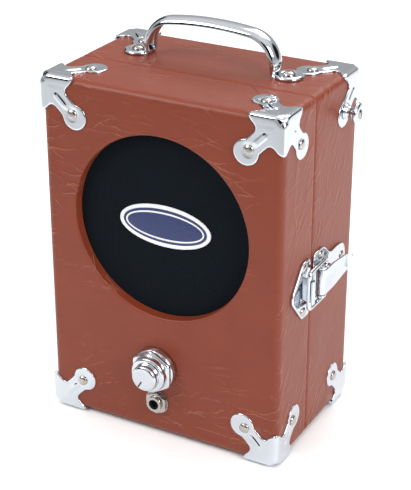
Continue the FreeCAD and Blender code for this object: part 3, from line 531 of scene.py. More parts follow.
finish = {
    "vinyl": vinyl(),
    "plywood": plywood(),
    "chrome": metal("bright_chrome", (0.63, 0.665, 0.71), 0.05, 0.05, 0.03),
    "nickel": metal("warm_nickel", (0.47, 0.445, 0.42), 0.16, 0.10, 0.02, 0.004),
    "steel": metal("zinc_steel", (0.55, 0.55, 0.53), 0.28, 0.10, 0.02, 0.006),
    "cloth": twill(),
    "enamel": grained("navy_enamel", (0.006, 0.016, 0.085), (0.010, 0.024, 0.12), 0.8, 0.35, 0.01,
                      coat=0.15),
    "basket_paint": grained("black_basket_paint", (0.010, 0.010, 0.011), (0.022, 0.022, 0.024), 1.2, 0.42,
                            0.03),
    "ferrite": grained("grey_ferrite", (0.035, 0.036, 0.040), (0.060, 0.060, 0.065), 0.9, 0.55, 0.04),
    "paper_cone": grained("pressed_paper", (0.012, 0.012, 0.012), (0.035, 0.034, 0.033), 1.6, 0.85, 0.10),
    "gasket_card": grained("grey_card", (0.10, 0.085, 0.065), (0.19, 0.16, 0.12), 0.9, 0.85, 0.06),
    "foam_roll": grained("foam_roll", (0.010, 0.010, 0.010), (0.028, 0.028, 0.028), 3.5, 0.92, 0.10),
    "spider_cloth": grained("treated_cloth", (0.34, 0.20, 0.05), (0.55, 0.36, 0.12), 2.6, 0.75, 0.08),
    "copper": metal("enamelled_copper", (0.72, 0.36, 0.16), 0.25, 0.08, 0.02),
    "sheet_aluminium": metal("brushed_sheet", (0.66, 0.67, 0.68), 0.30, 0.08, 0.02, 0.01),
    "board_green": circuit_green(),
    "core_iron": grained("varnished_core", (0.045, 0.040, 0.034), (0.12, 0.10, 0.08), 2.2, 0.40, 0.08,
                         (0.2, 3.0, 0.2)),
    "can_sleeve": grained("blue_sleeve", (0.010, 0.018, 0.07), (0.018, 0.030, 0.11), 1.0, 0.25, 0.01,
                          coat=0.4),
    "black_plastic": grained("black_moulding", (0.010, 0.010, 0.010), (0.022, 0.022, 0.022), 2.4, 0.48, 0.03),
    "cell_jacket": jacket(),
    "wire_sleeve": grained("red_wire_sleeve", (0.22, 0.008, 0.008), (0.32, 0.016, 0.014), 1.2, 0.42, 0.01),
}


# ---- carried-over CAD parts ----
def gentle_shading():
    """Modifier nodes that join loose triangles and keep only edges over 32 degrees crisp."""
    group = bpy.data.node_groups.new("gentle_shading", "GeometryNodeTree")
    for way in ("INPUT", "OUTPUT"):
        group.interface.new_socket("Geometry", in_out=way, socket_type="NodeSocketGeometry")
    new = group.nodes.new
    start, end = new("NodeGroupInput"), new("NodeGroupOutput")
    merge, smooth = new("GeometryNodeMergeByDistance"), new("GeometryNodeSetShadeSmooth")
    crisp, angle = new("GeometryNodeSetShadeSmooth"), new("GeometryNodeInputMeshEdgeAngle")
    over = new("FunctionNodeCompare")
    merge.inputs["Distance"].default_value = 0.002 * MM
    crisp.domain = "EDGE"
    crisp.inputs["Shade Smooth"].default_value = False
    over.operation = "GREATER_THAN"
    over.inputs[1].default_value = math.radians(32)
    link = group.links.new
    link(start.outputs[0], merge.inputs["Geometry"])
    link(merge.outputs[0], smooth.inputs["Geometry"])
    link(smooth.outputs[0], crisp.inputs["Geometry"])
    link(angle.outputs["Unsigned Angle"], over.inputs[0])
    link(over.outputs[0], crisp.inputs["Selection"])
    link(crisp.outputs[0], end.inputs[0])
    return group


def dress_cad_parts():
    """Each CAD node gets its slot's finish and gentle shading."""
    group = gentle_shading()
    for part in frame["record"]["subparts"]:
        node = frame["nodes"][part["node"]]
        node.data.materials.clear()
        node.data.materials.append(finish[part["material_slot"]])
        node.modifiers.new("shading", "NODES").node_group = group


# ---- vinyl covering ----
def walk_round(step):
    """Closed walk round the case seen from the front.

    Gives points on the outline inset by the edge radius, and outward directions that sweep through
    each corner.
    """
    bx = half_width - edge_r
    bz = (case_top - case_bottom) / 2 - edge_r
    corners = np.array([(bx, -bz), (bx, bz), (-bx, bz), (-bx, -bz)])
    base, turn = [], []
    for k in range(4):
        a, b = corners[k], corners[(k + 1) % 4]
        count = int(np.hypot(*(b - a)) / step)
        t = np.linspace(0, 1, count)[:, None]
        base += [a + (b - a) * t, np.repeat(b[None], 6, 0)]
        turn += [np.full(count, 90.0 * k), 90.0 * (k + np.linspace(0, 1, 8)[1:-1])]
    turn = np.radians(np.concatenate(turn))
    return np.vstack(base) + [0, mid_z], np.column_stack([np.cos(turn), np.sin(turn)])


def ripple(x, z, shift):
    """Slow unevenness of glued vinyl, in millimetres: a sum of five crossed sine waves."""
    waves = [(0.031, 0.057, 0.4, 1.0), (-0.074, 0.043, 1.9, 0.7), (0.112, 0.095, 3.1, 0.5),
             (0.19, -0.141, 4.0, 0.3), (-0.053, 0.222, 5.2, 0.3)]
    return sum(a * np.sin(p * x + q * z + s + shift) for p, q, s, a in waves)


def covering(front):
    """Covering of one half as rings carried outwards.

    Front: opening wall, rolled edge, face, rounded edge, side, rim, inner edge. The face is ruled from
    a circle to the outline. The rear half starts at the middle of the back instead of an opening.
    """
    base, out = walk_round(2.0)
    sign = 1 if front else -1
    face = front_y if front else rear_y
    rim = (front_rim - front_y) if front else (rear_y - rear_rim)
    rim_r = 0.7 if front else 2.1
    centre = np.array([0.0, opening_z if front else mid_z])
    ray = unit(base - centre)
    quarter = np.radians(np.linspace(0, 90, 6))
    rings = []
    if front:
        lip = 1.1
        bends = [(opening_r, 6.4), (opening_r, 4.2), (opening_r, 2.4)]
        bends += [(opening_r + lip * (1 - math.cos(a)), lip * (1 - math.sin(a))) for a in quarter]
        rings += [(centre + r * ray, d) for r, d in bends]
        first = centre + (opening_r + lip) * ray
    else:
        first = centre
    rings += [(first + (base - first) * t, 0.0) for t in np.linspace(0, 1, 34)[1 if front else 0:]]
    rings += [(base + out * edge_r * math.sin(a), edge_r * (1 - math.cos(a))) for a in quarter[1:]]
    rings += [(base + out * edge_r, d) for d in np.linspace(edge_r, rim - rim_r, 18)[1:]]
    rings += [(base + out * (edge_r - rim_r * (1 - math.cos(a))), rim - rim_r * (1 - math.sin(a)))
              for a in quarter[1:]]
    inner = np.clip(base - [0, mid_z], [-half_width + wall, case_bottom - mid_z + wall],
                    [half_width - wall, case_top - mid_z - wall]) + [0, mid_z]
    rings += [((base + out * (edge_r - rim_r)) * 0.5 + inner * 0.5, rim), (inner, rim), (inner, rim - skin)]
    flat = np.array([f for f, _ in rings])
    depth = np.array([d for _, d in rings])[:, None] * np.ones(len(base))
    flat_part = np.exp(-(depth / 0.5) ** 2)
    gap = np.min([half_width - np.abs(flat[..., 0]), case_top - flat[..., 1], flat[..., 1] - case_bottom], 0)
    calm = np.clip((gap - 6.0) / 8.0, 0, 1)
    if front:
        to_hole = np.linalg.norm(flat - centre, axis=-1) - opening_r
        to_knob = np.hypot(flat[..., 0] - control_x, flat[..., 1] - knob_z) - 12
        to_jack = np.hypot(flat[..., 0] - control_x, flat[..., 1] - jack_z) - 8
        calm = calm * np.clip(np.min([to_hole, to_knob, to_jack], 0) / 7.0, 0, 1)
    depth = depth + 0.055 * ripple(flat[..., 0], flat[..., 1], 0.0) * calm * flat_part
    along = np.clip((depth - edge_r) / 6, 0, 1) * np.clip((rim - 3 - depth) / 5, 0, 1)
    swell = 0.05 * ripple(depth, flat[..., 0] + flat[..., 1], 2.0) * along
    flat = flat - swell[..., None] * out[None]
    points = np.stack([flat[..., 0], face + sign * depth, flat[..., 1]], -1)
    return grid(points, wrap_cols=True)


def sheet_lay(corners, normals):
    """Unrolled place of each corner in millimetres, turned so that u runs along the creases."""
    x, y, z = corners.T
    nx, ny, nz = np.abs(normals).T
    on_face = (ny >= nx) & (ny >= nz)
    on_side = (nx > ny) & (nx >= nz)
    across = np.where(on_face, x, np.where(on_side, y, x))
    up = np.where(on_face | on_side, z, y)
    angle = np.radians(np.where(on_face, 5.0, np.where(on_side, 58.0, 4.0)))
    shift = np.where(on_face, 0.0, np.where(on_side, 400.0, 800.0)) + np.where(normals.sum(1) > 0, 57.0, 0.0)
    u = across * np.cos(angle) + up * np.sin(angle) + shift
    v = up * np.cos(angle) - across * np.sin(angle) + shift
    return np.column_stack([u, v])


def cover_case():
    """The vinyl of both halves."""
    for half in ("front", "rear"):
        piece(half + "_vinyl", covering(half == "front"), half + "_half", "vinyl", [half + "_covering"],
              lay=sheet_lay, crisp=60)


# ---- corner plates and nails ----
lobe_middle = 21.5
lobe_r = 7.4
nail_in = 20.0


def plate_edge():
    """Half of a lobe's outline, from its tip on the case edge to its far end on the diagonal."""
    flank = np.array([(20.4, 0.0), (20.1, 1.7), (18.8, 3.3), (17.0, 4.9), (16.0, 6.8), (16.3, 8.7),
                      (18.6, 11.2), (21.2, 13.7)])
    t = np.arange(len(flank))
    fine = np.linspace(0, len(flank) - 1, 33)
    soft = np.column_stack([np.interp(fine, t, flank[:, k]) for k in (0, 1)])
    for _ in range(3):
        soft[1:-1] = (soft[:-2] + 2 * soft[1:-1] + soft[2:]) / 4
    turn = np.radians(np.linspace(-83, 45, 18))
    lobe = lobe_middle + lobe_r * np.column_stack([np.cos(turn), np.sin(turn)])
    return np.vstack([soft, lobe])


def plate_relief(a, b, rim_gap):
    """Height of a plate's outer face over the case.

    Sheet thickness, plus a crest along each case edge, a bar pressed up between apex and nail, a shallow
    dish round the nail, and a rolled-down rim.
    """
    low, high = np.minimum(a, b), np.maximum(a, b)
    reach = np.clip(high / 20.0, 0, 1)
    crest = 1.35 * np.exp(-(low / 2.4) ** 2) * np.clip(high / 4.0, 0.35, 1)
    shoulder = 0.5 * np.exp(-((low - 7.0) / 3.2) ** 2) * (1 - reach) ** 0.5
    along = (a + b) / math.sqrt(2)
    off = np.abs(a - b) / math.sqrt(2)
    past = np.maximum(np.abs(along - 18.2) - 3.3, 0)
    bar = 0.62 * np.clip((1.75 - np.hypot(past, off)) / 0.75, 0, 1) ** 0.7
    nail = np.hypot(a - nail_in, b - nail_in)
    dish = -0.28 * np.clip((5.0 - nail) / 1.6, 0, 1)
    roll = -0.40 * np.clip(1 - rim_gap / 0.5, 0, 1) ** 2
    return plate_face + crest + shoulder + bar + dish + roll


def plate_points(a, b, height, radius):
    """Point on one face of the case, wrapped round the rounded edges and lifted off the surface.

    q is the sharp-edged point held at least the radius inside each face, and the point is
    q + (radius + height) * direction from q.
    """
    sharp = np.stack([a, b, np.zeros_like(a)], -1)
    inside = np.maximum(sharp, radius)
    return inside + unit(sharp - inside) * (radius + height[..., None])


def corner_shell(right, rear, top):
    """Plate on one corner: six half-lobes on a grid from the diagonal to the outline, with its underside."""
    edge = plate_edge()
    foot = edge.mean(1)
    progress = np.clip(np.arange(len(edge)) / 33.0, 0, 1)
    spine = np.minimum(foot, lobe_middle) * (progress ** 0.8)
    spine = np.column_stack([spine, spine])
    t = np.concatenate([np.linspace(0, 1, 15) ** 1.2, [0.985]])
    t = np.sort(t)[:, None, None]
    flat = spine[None] + (edge - spine)[None] * t
    gap = np.linalg.norm(edge[None] - flat, axis=-1)
    a, b = flat[..., 0], flat[..., 1]
    face = plate_points(a, b, plate_relief(a, b, gap), edge_r)

    def layer(rows, height):
        """Rows of the grid at one even height."""
        return plate_points(rows[..., 0], rows[..., 1], np.full(rows.shape[:2], height), edge_r)
    half = np.vstack([face, layer(flat[-1:], 0.25), layer(flat[::-5], plate_air), layer(flat[:1], plate_air)])
    shells = []
    corner = np.array([half_width, -rear_y if rear else front_y, -case_top if top else case_bottom])
    for turn in range(3):
        for swap in (False, True):
            points = half[..., [1, 0, 2]] if swap else half
            points = np.roll(points, turn, axis=-1)
            points = points * [-1, 1, 1] + corner
            points = points * [1 if right else -1, -1 if rear else 1, -1 if top else 1]
            shells.append(grid(points))
    return join(shells)


def plate_corners():
    """All eight corner plates."""
    for rear, top, right in itertools.product((False, True), repeat=3):
        half = "rear" if rear else "front"
        name = "_".join([half, "corner", "top" if top else "bottom", "right" if right else "left"])
        piece(name.replace("corner", "plate"), corner_shell(right, rear, top), half + "_half", "chrome",
              [name], crisp=50)


def nail_spots(half):
    """Seats and outward directions of every nail on one half, the base ones last."""
    rear = half == "rear"
    y = rear_y - nail_in if rear else front_y + nail_in
    face = rear_y + plate_face if rear else front_y - plate_face
    spots, base = [], []
    for sx in (-1, 1):
        for z, sz in ((case_top, 1), (case_bottom, -1)):
            inside = z - sz * nail_in
            up = ((sx * (half_width - nail_in), y, z + sz * plate_face), (0, 0, sz))
            (spots if sz > 0 else base).append(up)
            spots.append(((sx * (half_width - nail_in), face, inside), (0, 1 if rear else -1, 0)))
            if not (rear and sz > 0):
                spots.append(((sx * (half_width + plate_face), y, inside), (sx, 0, 0)))
    step = 7.4 if rear else -7.4
    for height in (45.0, 165.0):
        for up in (-8.5, 8.5):
            spots.append(((-half_width - 1.05, seam_y + step, case_bottom + height + up), (-1, 0, 0)))
    latch = [(11.5, -12.8), (11.5, 12.8), (41.0, 0.0)] if rear else [(-10.5, -13.6), (-10.5, 13.6)]
    spots += [((half_width + 1.05, seam_y + back, latch_z + up), (1, 0, 0)) for back, up in latch]
    return spots, base


def drive_nails():
    """Low domed heads, rolling under at the rim; the ones the case stands on have a level middle."""
    dome = [(0, 1.22), (1.0, 1.16), (1.9, 0.94), (2.6, 0.55), (3.0, 0.16), (3.1, -0.10), (2.9, -0.30),
            (0, -0.3)]
    level = [(0, 1.219), (0.8, 1.219)] + dome[2:]
    for half in ("front", "rear"):
        spots, base = nail_spots(half)
        for name, node, profile, where in (("_nail_heads", "_nails", rounded(dome, 0.25, 3), spots),
                                           ("_stand_nails", "_base_nails", level, base)):
            heads = [turned(profile, at, out, 28) for at, out in where]
            piece(half + name, join(heads), half + "_half", "nickel", [half + node], crisp=70)


# ---- handle and strap buttons ----
def handle_path():
    """Line of the band's lips from one foot over the arch to the other, in the upright plane."""
    base = case_top + plate_air
    reach, leg, shoulder, rise = 40.0, 5.2, 17.0, math.radians(8)
    hub = np.array([reach - shoulder, base + leg])
    quarter = np.linspace(0, math.pi / 2 - rise, 22)
    bend = hub + shoulder * np.column_stack([np.cos(quarter), np.sin(quarter)])
    end = bend[-1]
    big = end[0] / math.sin(rise)
    arch = np.linspace(rise, 0, 16)[1:]
    crown = np.column_stack([big * np.sin(arch), end[1] - big * math.cos(rise) + big * np.cos(arch)])
    toe = [(49.0, base + 0.3), (41.2, base + 0.3), (reach, base + 1.6), (reach, base + leg - 0.5)]
    foot = rounded(toe, 1.6, 5)
    side = np.vstack([foot, bend, crown])
    return np.vstack([side, (side * [-1, 1])[-2::-1]])


def handle_band():
    """Crowned channel carried over the arch; it flattens and narrows into the feet."""
    line = handle_path()
    path = np.column_stack([line[:, 0], np.full(len(line), handle_y), line[:, 1]])
    lift = np.clip((line[:, 1] - case_top - 0.4) / 5.0, 0, 1)
    lift = lift * lift * (3 - 2 * lift)
    half = 5.2 + 0.8 * lift
    crown = 1.7 + 2.3 * lift
    sheet = 1.25 + 0.25 * lift
    over = np.linspace(0, math.pi, 19)
    back = np.linspace(math.pi, 0, 11)
    outer = np.stack([half[:, None] * np.cos(over), -1.2 + crown[:, None] * np.sin(over) ** 0.8], -1)
    inner = np.stack([(half - sheet)[:, None] * np.cos(back),
                      -1.2 + (crown - sheet)[:, None] * np.sin(back) ** 0.8], -1)
    section = np.concatenate([outer, inner], 1)
    return swept(section, path, Y)


def slotted_head(at, radius, height, slot, out):
    """Round screw head on chords of its circle: a dome, with two chords dropped to cut the slot."""
    first, second, out = axes_for(out)
    chord = np.concatenate([np.linspace(-radius, -slot, 9), [-slot, slot], np.linspace(slot, radius, 9)])
    floor = np.zeros(len(chord), bool)
    floor[9:11] = True
    along = np.sin(np.radians(np.linspace(-90, 90, 21)))
    u = chord[:, None] * np.ones(21)
    v = np.sqrt(np.maximum(radius ** 2 - chord ** 2, 0))[:, None] * along
    fall = np.clip((u ** 2 + v ** 2) / radius ** 2, 0, 1)
    h = np.where(floor[:, None], height * 0.35, height * (1 - 0.72 * fall ** 1.6))
    top = np.asarray(at) + u[..., None] * first + v[..., None] * second + h[..., None] * out
    skirt = turned([(0, -0.2), (radius, -0.2), (radius, height * 0.28)], at, out, 40)
    return join([faced(grid(top), out), skirt])


def handle_set():
    """Handle on two dished feet, each held by a slotted screw, with its shank and nut inside the case."""
    seat = case_top + plate_air
    under = case_top - wall
    dish = [(0, 0), (8.0, 0), (8.3, 0.5), (8.3, 1.3), (7.7, 2.0), (6.6, 2.2), (5.2, 2.1), (4.6, 1.9),
            (0, 1.9)]
    shank = [(0, 0), (2.0, 0), (2.0, 6.6), (0, 6.6)]
    nut = [(2.05, 0, 0), (3.0, 0, 0), (3.4, 0.35, 1), (3.4, 2.25, 1), (3.0, 2.6, 0), (2.05, 2.6, 0),
           (2.05, 0, 0)]
    feet, bolts = [], []
    for x in (-foot_x, foot_x):
        feet.append(turned(rounded(dish, 0.35, 4), (x, handle_y, seat), Z, 64))
        bolts.append(slotted_head((x, handle_y, seat + 1.9), 3.5, 1.9, 0.5, Z))
        bolts.append(turned(shank, (x, handle_y, under - 4), Z, 24))
        bolts.append(turned(nut, (x, handle_y, under - 2.62), Z, 48, 6, 30.0))
    piece("carry_handle", join([handle_band()] + feet), "rear_half", "chrome", ["handle"], crisp=42)
    piece("handle_bolts", join(bolts), "rear_half", "nickel", ["handle_screws"], crisp=35)


def strap_set():
    """Turned buttons: washer, waisted neck, bevelled head, with a slotted screw through the middle."""
    shape = [(0, 0), (4.7, 0), (4.8, 0.5), (4.2, 1.0), (4.2, 1.3), (3.4, 2.2), (3.15, 3.2), (3.3, 4.7),
             (4.4, 5.6), (6.0, 6.2), (6.3, 6.8), (6.3, 7.5), (5.6, 8.5), (4.4, 8.9), (2.9, 8.9),
             (2.7, 8.6), (0, 8.6)]
    heads, screws = [], []
    for side in (-1, 1):
        at = np.array([side * (half_width + plate_face), rear_y - 20.0, case_top - 20.0])
        heads.append(turned(rounded(shape, 0.3, 4), at, (side, 0, 0), 56))
        screws.append(slotted_head(at + [side * 8.6, 0, 0], 2.4, 0.95, 0.35, (side, 0, 0)))
    piece("strap_pegs", join(heads), "rear_half", "chrome", ["strap_buttons"], crisp=45)
    piece("strap_peg_screws", join(screws), "rear_half", "nickel", crisp=35)


# ---- latch ----
def on_latch(points):
    """(back from the seam, up from the latch's middle, out from the wall) to a point."""
    back, up, out = np.asarray(points, float).T
    return np.column_stack([half_width + plate_air + out, seam_y + back, latch_z + up])


def ribbon(line, thickness, half, narrow=0.0):
    """Bent sheet: a line of (back, out) points thickened to its left and carried across its width.

    The half width falls by narrow from back 16 to back 38, and the sheet thins over its last third of a
    millimetre on each side, which rounds its edges.
    """
    tangent = unit(np.gradient(line, axis=0))
    left = line + thickness * np.column_stack([-tangent[:, 1], tangent[:, 0]])
    loop = np.vstack([line, left[::-1]])
    middle = (line + left) / 2
    middle = np.vstack([middle, middle[::-1]])
    reach = half - narrow * np.clip((loop[:, 0] - 16.0) / 22.0, 0, 1)
    rows = []
    for side, inset, full in ((-1, 0.0, 0.0), (-1, 0.0, 0.5), (-1, 0.1, 0.82), (-1, 0.35, 1.0),
                              (1, 0.35, 1.0), (1, 0.1, 0.82), (1, 0.0, 0.5), (1, 0.0, 0.0)):
        flat = middle + (loop - middle) * full
        rows.append(on_latch(np.column_stack([flat[:, 0], side * (reach - inset), flat[:, 1]])))
    return grid(np.array(rows), wrap_cols=True)


def latch_set():
    """Base plate, keeper with its hook, rolled lever, wire bail and pin of the draw latch."""
    base_line = [(1.5, -17.0), (15.0, -17.0), (24.0, -9.0), (38.0, -9.0), (44.0, -7.0), (46.5, 0.0),
                 (44.0, 7.0), (38.0, 9.0), (24.0, 9.0), (15.0, 17.0), (1.5, 17.0)]

    def upright(low):
        """Places a (back, out) outline standing square to the wall from the height low."""
        return lambda p: on_latch(np.column_stack([p[:, 0], low + p[:, 2], p[:, 1]]))

    def part(name, shells, body, node, crisp=50):
        """One chromed part of the latch."""
        piece(name, join(shells), body, "chrome", [node], crisp=crisp)
    pressed = [(0.2, 0.0), (0.0, 0.2), (0.0, 0.9), (0.3, 1.2), (0.9, 1.25), (1.5, 1.05), (2.0, 0.98)]
    shells = [slab(closed(base_line, 3.4), pressed, on_latch, (15.5, 0.0))]
    ear = closed([(1.8, 0.0), (8.2, 0.0), (8.2, 4.6), (7.0, 7.4), (3.0, 7.4), (1.8, 4.6)], 1.6)
    shells += [slab(ear, sheet_edge(1.2), upright(low), (5.0, 3.6)) for low in (8.2, -9.4)]
    part("latch_bed", shells, "rear_half", "latch_base")
    keeper_line = [(-25.5, -2.5), (-12.5, -17.5), (-3.5, -17.5), (-3.5, 17.5), (-12.5, 17.5), (-25.5, 2.5)]
    hook = rounded([(-7.6, 0.6), (-7.8, 4.2), (-8.2, 7.0), (-10.6, 7.9), (-12.4, 7.0)], 1.6, 7)
    brace = closed([(-7.8, 0.8), (-3.9, 0.8), (-7.8, 5.2)], 0.6)
    deep = [(0.2, 0.0), (0.0, 0.2), (0.0, 1.0), (0.3, 1.4), (1.0, 1.5), (2.1, 1.15), (2.8, 0.98)]
    shells = [slab(closed(keeper_line, 2.2), deep, on_latch, (-12.0, 0.0)), ribbon(hook, 1.15, 7.0),
              slab(brace, sheet_edge(1.2), upright(-0.6), (-6.6, 2.2))]
    part("latch_hook_plate", shells, "front_half", "latch_keeper")
    roll = np.radians(np.linspace(90, -150, 26))
    turn = np.column_stack([5.0 - 3.0 * np.cos(roll), 4.6 + 3.0 * np.sin(roll)])
    arc = np.radians(np.linspace(0, 66, 14))
    curl = np.column_stack([34.0 + 4.0 * np.sin(arc), 11.6 - 4.0 * np.cos(arc)])
    flat = np.column_stack([np.linspace(33.0, 6.5, 12), np.full(12, 7.6)])
    shells = [ribbon(np.vstack([curl[::-1], flat, turn]), 1.1, 7.7, 2.8)]
    lug = closed([(8.9, 6.8), (8.9, 4.2), (10.0, 1.9), (13.0, 1.9), (14.1, 4.2), (14.1, 6.8)], 1.5)
    shells += [slab(lug, sheet_edge(1.2), upright(low), (11.5, 4.6)) for low in (6.5, -7.7)]
    part("latch_thumb_lever", shells, "latch_lever", "latch_lever")
    loop = rounded([(11.5, -5.9, 4.2), (11.5, -11.3, 4.2), (-10.5, -11.3, 4.2), (-10.5, 11.3, 4.2),
                    (11.5, 11.3, 4.2), (11.5, 5.9, 4.2)], 2.6, 9)
    part("latch_wire", [round_wire(on_latch(loop), 1.3)], "latch_bail", "latch_bail", crisp=60)
    pin = [(0, 0), (1.7, 0), (2.0, 0.3), (1.9, 0.6), (1.3, 0.7), (1.3, 19.3), (1.9, 19.4), (2.0, 19.7),
           (1.7, 20.0), (0, 20.0)]
    at = on_latch([(5.0, -10.0, 4.6)])[0]
    piece("latch_hinge_pin", turned(pin, at, Z, 24), "rear_half", "steel", ["latch_pin"])


# ---- knob, socket, cloth and badge ----
def control_set():
    """Stepped knob with a rounded six-sided collar, and the socket's nut and washer."""
    steps = [(0, 15.7, 0), (4.6, 15.9, 0), (6.6, 15.9, 0), (7.5, 15.4, 0), (7.95, 14.4, 0), (8.0, 12.0, 0),
             (8.3, 11.4, 0), (9.6, 11.3, 0), (10.4, 11.0, 0), (10.8, 10.3, 0), (10.85, 8.0, 0),
             (11.1, 7.45, 0.4), (11.5, 7.3, 1), (12.0, 7.0, 1), (12.25, 6.4, 1), (12.25, 5.4, 1),
             (12.0, 4.9, 0.8), (12.4, 4.6, 0), (12.9, 4.2, 0), (13.25, 2.0, 0), (13.3, 0.7, 0),
             (13.0, 0.5, 0), (8.0, 0.5, 0), (8.0, 3.6, 0), (0, 3.6, 0)]
    forward = (0, -1, 0)
    socket = (control_x, front_y, jack_z)
    shell = turned(rounded(steps, 0.3, 4), (control_x, front_y, knob_z), forward, 96, 6, 16.0)
    piece("volume_knob_shell", shell, "volume_knob", "chrome", ["knob"], crisp=50)
    turn = math.radians(-150)
    line = np.array([(math.sin(turn), math.cos(turn)), (math.cos(turn), -math.sin(turn))])
    ends = closed([(2.2, -0.45), (6.7, -0.45), (6.7, 0.45), (2.2, 0.45)], 0.4)

    def on_cap(p):
        """(along the pointer, across it, height) to a point on the knob's end."""
        flat = p[:, :1] * line[0] + p[:, 1:2] * line[1]
        return np.column_stack([control_x + flat[:, 0], front_y - 15.88 - p[:, 2], knob_z + flat[:, 1]])
    piece("knob_pointer", slab(ends, [(0.0, 0.0), (0.0, 0.1)], on_cap, (4.5, 0.0)), "volume_knob", "chrome",
          look=finish["black_plastic"])
    nut = [(4.72, 0.55, 0), (7.4, 0.55, 0), (7.45, 0.3, 0), (7.4, 0.05, 0), (4.72, 0.05, 0), (4.72, 0.55, 0)]
    washer = turned(nut, socket, forward, 72, 6)
    body = [(4.75, 0.55, 0), (6.0, 0.55, 0.2), (6.25, 0.8, 1), (6.25, 2.1, 1), (5.9, 2.5, 0.3), (5.2, 2.6, 0),
            (4.75, 2.6, 0), (4.75, 0.55, 0)]
    hexagon = turned(body, socket, forward, 72, 6, 26.0)
    # painted shade: a black tube and disc close the socket's bore a third of a millimetre out from the face,
    # standing in for its dark depth
    well = [(3.18, 4.3), (3.18, 0.35), (0, 0.35), (0, 0.3), (3.19, 0.3), (3.19, 4.3)]
    piece("socket_shade_plug", turned(well, socket, forward, 40), "front_half", "black_plastic")
    piece("socket_nut", join([washer, hexagon]), "front_half", "nickel", ["jack_nut"], crisp=40)


def dressed_opening():
    """Cloth stretched behind the opening, sagging by a tenth of a millimetre, and its oval badge."""
    radius = np.linspace(0, cloth_r, 30)[:, None, None]
    angle = np.linspace(0, 2 * math.pi, 96, endpoint=False)[None, :, None]
    sag = 0.12 * (1 - (radius / cloth_r) ** 2) * np.ones_like(angle)
    points = np.concatenate([radius * np.cos(angle), baffle_back + sag,
                             opening_z + radius * np.sin(angle)], -1)
    cloth = piece("speaker_cloth", faced(grid(points, wrap_cols=True), -Y), "front_half", "cloth",
                  ["grille_cloth"], lay=lambda p, n: p[:, [0, 2]])
    turn = np.linspace(0, 2 * math.pi, 96, endpoint=False)

    def oval(rows):
        """Rings of (inset, height) round an oval 58 by 25."""
        return np.array([np.column_stack([(29.0 - i) * np.cos(turn), np.full(96, baffle_back - h),
                                          opening_z + (12.5 - i) * np.sin(turn)]) for i, h in rows])
    field = oval([(2.2, 0.6), (5.0, 0.72), (8.0, 0.82), (11.0, 0.86)])
    middle = field[-1:] * [0, 1, 0] + [0, 0, opening_z]
    middle[..., 0] = np.clip(field[-1:, :, 0], -16.5, 16.5)
    rows = np.vstack([oval([(2.2, 0.02)]), field, middle])
    piece("badge_field", grid(rows, wrap_cols=True), "front_half", "enamel", ["badge"])
    rings = [(0.0, 0.0), (0.0, 0.6), (0.25, 0.92), (0.8, 1.0), (1.5, 1.0), (2.0, 0.9), (2.3, 0.6), (2.3, 0.0)]
    white = grained("white_enamel", (0.70, 0.71, 0.72), (0.80, 0.80, 0.80), 0.8, 0.35, 0.01, coat=0.2)
    piece("badge_rim", grid(oval(rings), wrap_cols=True), "front_half", "enamel", look=white)
    inner = oval([(4.0, 0.62), (4.0, 0.80), (4.3, 0.86), (4.7, 0.86), (5.0, 0.80), (5.0, 0.62)])
    piece("badge_line", grid(inner, wrap_cols=True), "front_half", "enamel", look=white)


def flexing_ring(name, profile, slot):
    """Ring that bends between the cone and the frame: a closed profile of (radius, depth) carried round.

    It is cut into twelve wedges.
    """
    profile = np.array(profile + profile[:1], float)
    steps = np.linspace(0, len(profile) - 1, 4 * (len(profile) - 1) + 1)[:-1]
    fine = np.column_stack([np.interp(steps, np.arange(len(profile)), profile[:, k]) for k in (0, 1)])
    angle = np.linspace(0, 2 * math.pi, 72, endpoint=False) - math.radians(15)
    around = np.column_stack([np.cos(angle), np.zeros(72), np.sin(angle)])
    middle = np.array([0.0, baffle_back, opening_z])
    ring = middle + fine[:, :1, None] * around[None] + fine[:, 1:, None] * Y
    points, quads = grid(ring, wrap_rows=True, wrap_cols=True)
    quads = quads.reshape(len(fine), 72, 4)
    for k in range(12):
        used, back = np.unique(quads[:, 6 * k:6 * k + 6], return_inverse=True)
        wedge = piece(f"{name}_{k + 1:02d}", (points[used], back.reshape(-1, 4)), None, slot,
                      ["speaker_" + name], crisp=60)
        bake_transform(wedge)


def speaker_rings():
    """The foam surround and the spider, which bend as the cone moves."""
    surround = [(46.5, 2.4), (49.6, 2.4), (50.8, 2.8), (51.8, 3.8), (52.8, 4.0), (53.9, 3.0), (54.7, 1.6),
                (59.0, 1.6), (59.0, 2.0), (55.3, 2.0), (54.4, 3.5), (53.0, 4.6), (51.4, 4.4), (50.2, 3.3),
                (49.2, 2.9), (46.5, 2.9)]
    spider = [(12.5, 18.2), (17.0, 18.2), (18.5, 17.2), (21.0, 18.8), (23.5, 17.2), (26.0, 18.8),
              (28.0, 18.5), (34.0, 18.5), (34.0, 18.9), (27.8, 18.9), (26.0, 19.3), (23.5, 17.8),
              (21.0, 19.4), (18.5, 17.8), (17.2, 18.7), (12.5, 18.7)]
    flexing_ring("surround", surround, "foam_roll")
    flexing_ring("spider", spider, "spider_cloth")


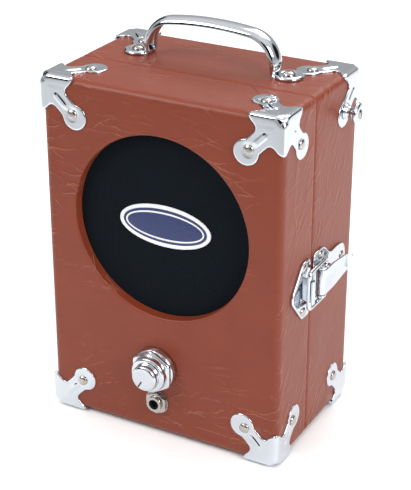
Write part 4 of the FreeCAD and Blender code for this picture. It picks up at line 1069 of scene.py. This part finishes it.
# ---- studio ----
def studio():
    """Pale floor that darkens in front beyond the paper, three soft boxes, and a room with dark flags."""
    reach = 4.0
    mesh = bpy.data.meshes.new("floor")
    mesh.from_pydata([(-reach, -reach, 0), (reach, -reach, 0), (reach, reach, 0), (-reach, reach, 0)], [],
                     [(0, 1, 2, 3)])
    material, tree, shader, where = start_finish("pale_floor", 0.75)
    past = sums(tree, "MULTIPLY_ADD", part_of(tree, where, 1), -1.0, -230.0)
    paper = ramp(tree, times(tree, past, 0.00125), [(0.0, 0.94), (0.18, 0.56), (1.0, 0.42)])
    tone = mixed(tree, noise(tree, where, 0.01, 2.0), paper, [0.9, 0.9, 0.9], "MULTIPLY")
    tree.links.new(tone, shader.inputs["Base Color"])
    mesh.materials.append(material)
    shown("floor", mesh)
    for name, place, size, power in (("left_softbox", (-0.9, -1.1, 1.2), 0.9, 19.0),
                                     ("right_softbox", (1.3, -0.5, 0.9), 0.7, 16.0),
                                     ("back_softbox", (0.1, 1.0, 1.5), 1.1, 16.0)):
        light = bpy.data.lights.new(name, "AREA")
        light.size = size
        light.energy = power
        lamp = shown(name, light)
        lamp.location = place
        lamp.rotation_euler = (Vector((0, 0, 0.11)) - Vector(place)).to_track_quat("-Z", "Y").to_euler()
    world = bpy.data.worlds.new("pale_room")
    bpy.context.scene.world = world
    world.use_nodes = True
    tree = world.node_tree
    back = tree.nodes["Background"]
    way = tree.nodes.new("ShaderNodeTexCoord").outputs["Generated"]
    shade = ramp(tree, part_of(tree, way, 2), [(0.0, 0.74), (0.10, 0.50), (0.35, 0.52), (0.8, 1.0)])
    for azimuth, start in ((28.0, 0.93), (-38.0, 0.965), (135.0, 0.97), (240.0, 0.975)):
        turn = math.radians(azimuth)
        toward = add(tree, "VectorMath", {0: way, 1: (math.sin(turn), -math.cos(turn), 0.25)}, out=1,
                     operation="DOT_PRODUCT")
        flag = ramp(tree, toward, [(start, 1.0), (start + 0.02, 0.03)])
        shade = mixed(tree, 1.0, shade, flag, "MULTIPLY")
    tree.links.new(shade, back.inputs["Color"])
    back.inputs["Strength"].default_value = 0.95
    bpy.context.scene.view_settings.view_transform = "Standard"


def set_camera():
    """Camera a little over eight hundred millimetres away, to the right and above, with a long lens."""
    right = Vector((0.87909, 0.47664, 0.00203))
    up = Vector((-0.20708, 0.37809, 0.90231))
    ahead = Vector((-0.42932, 0.79364, -0.43108))
    data = bpy.data.cameras.new("camera")
    data.sensor_width = 36.0
    data.lens = 104.9
    data.shift_x = -0.0055
    data.shift_y = -0.0058
    data.clip_start, data.clip_end = 0.01, 50.0
    camera = shown("camera", data)
    pose = Matrix((right, up, -ahead)).transposed().to_4x4()
    pose.translation = Vector((0.3633, -0.6566, 0.46775))
    camera.matrix_world = pose
    bpy.context.scene.camera = camera


dress_cad_parts()
cover_case()
plate_corners()
drive_nails()
handle_set()
strap_set()
latch_set()
control_set()
dressed_opening()
speaker_rings()
studio()
set_camera()
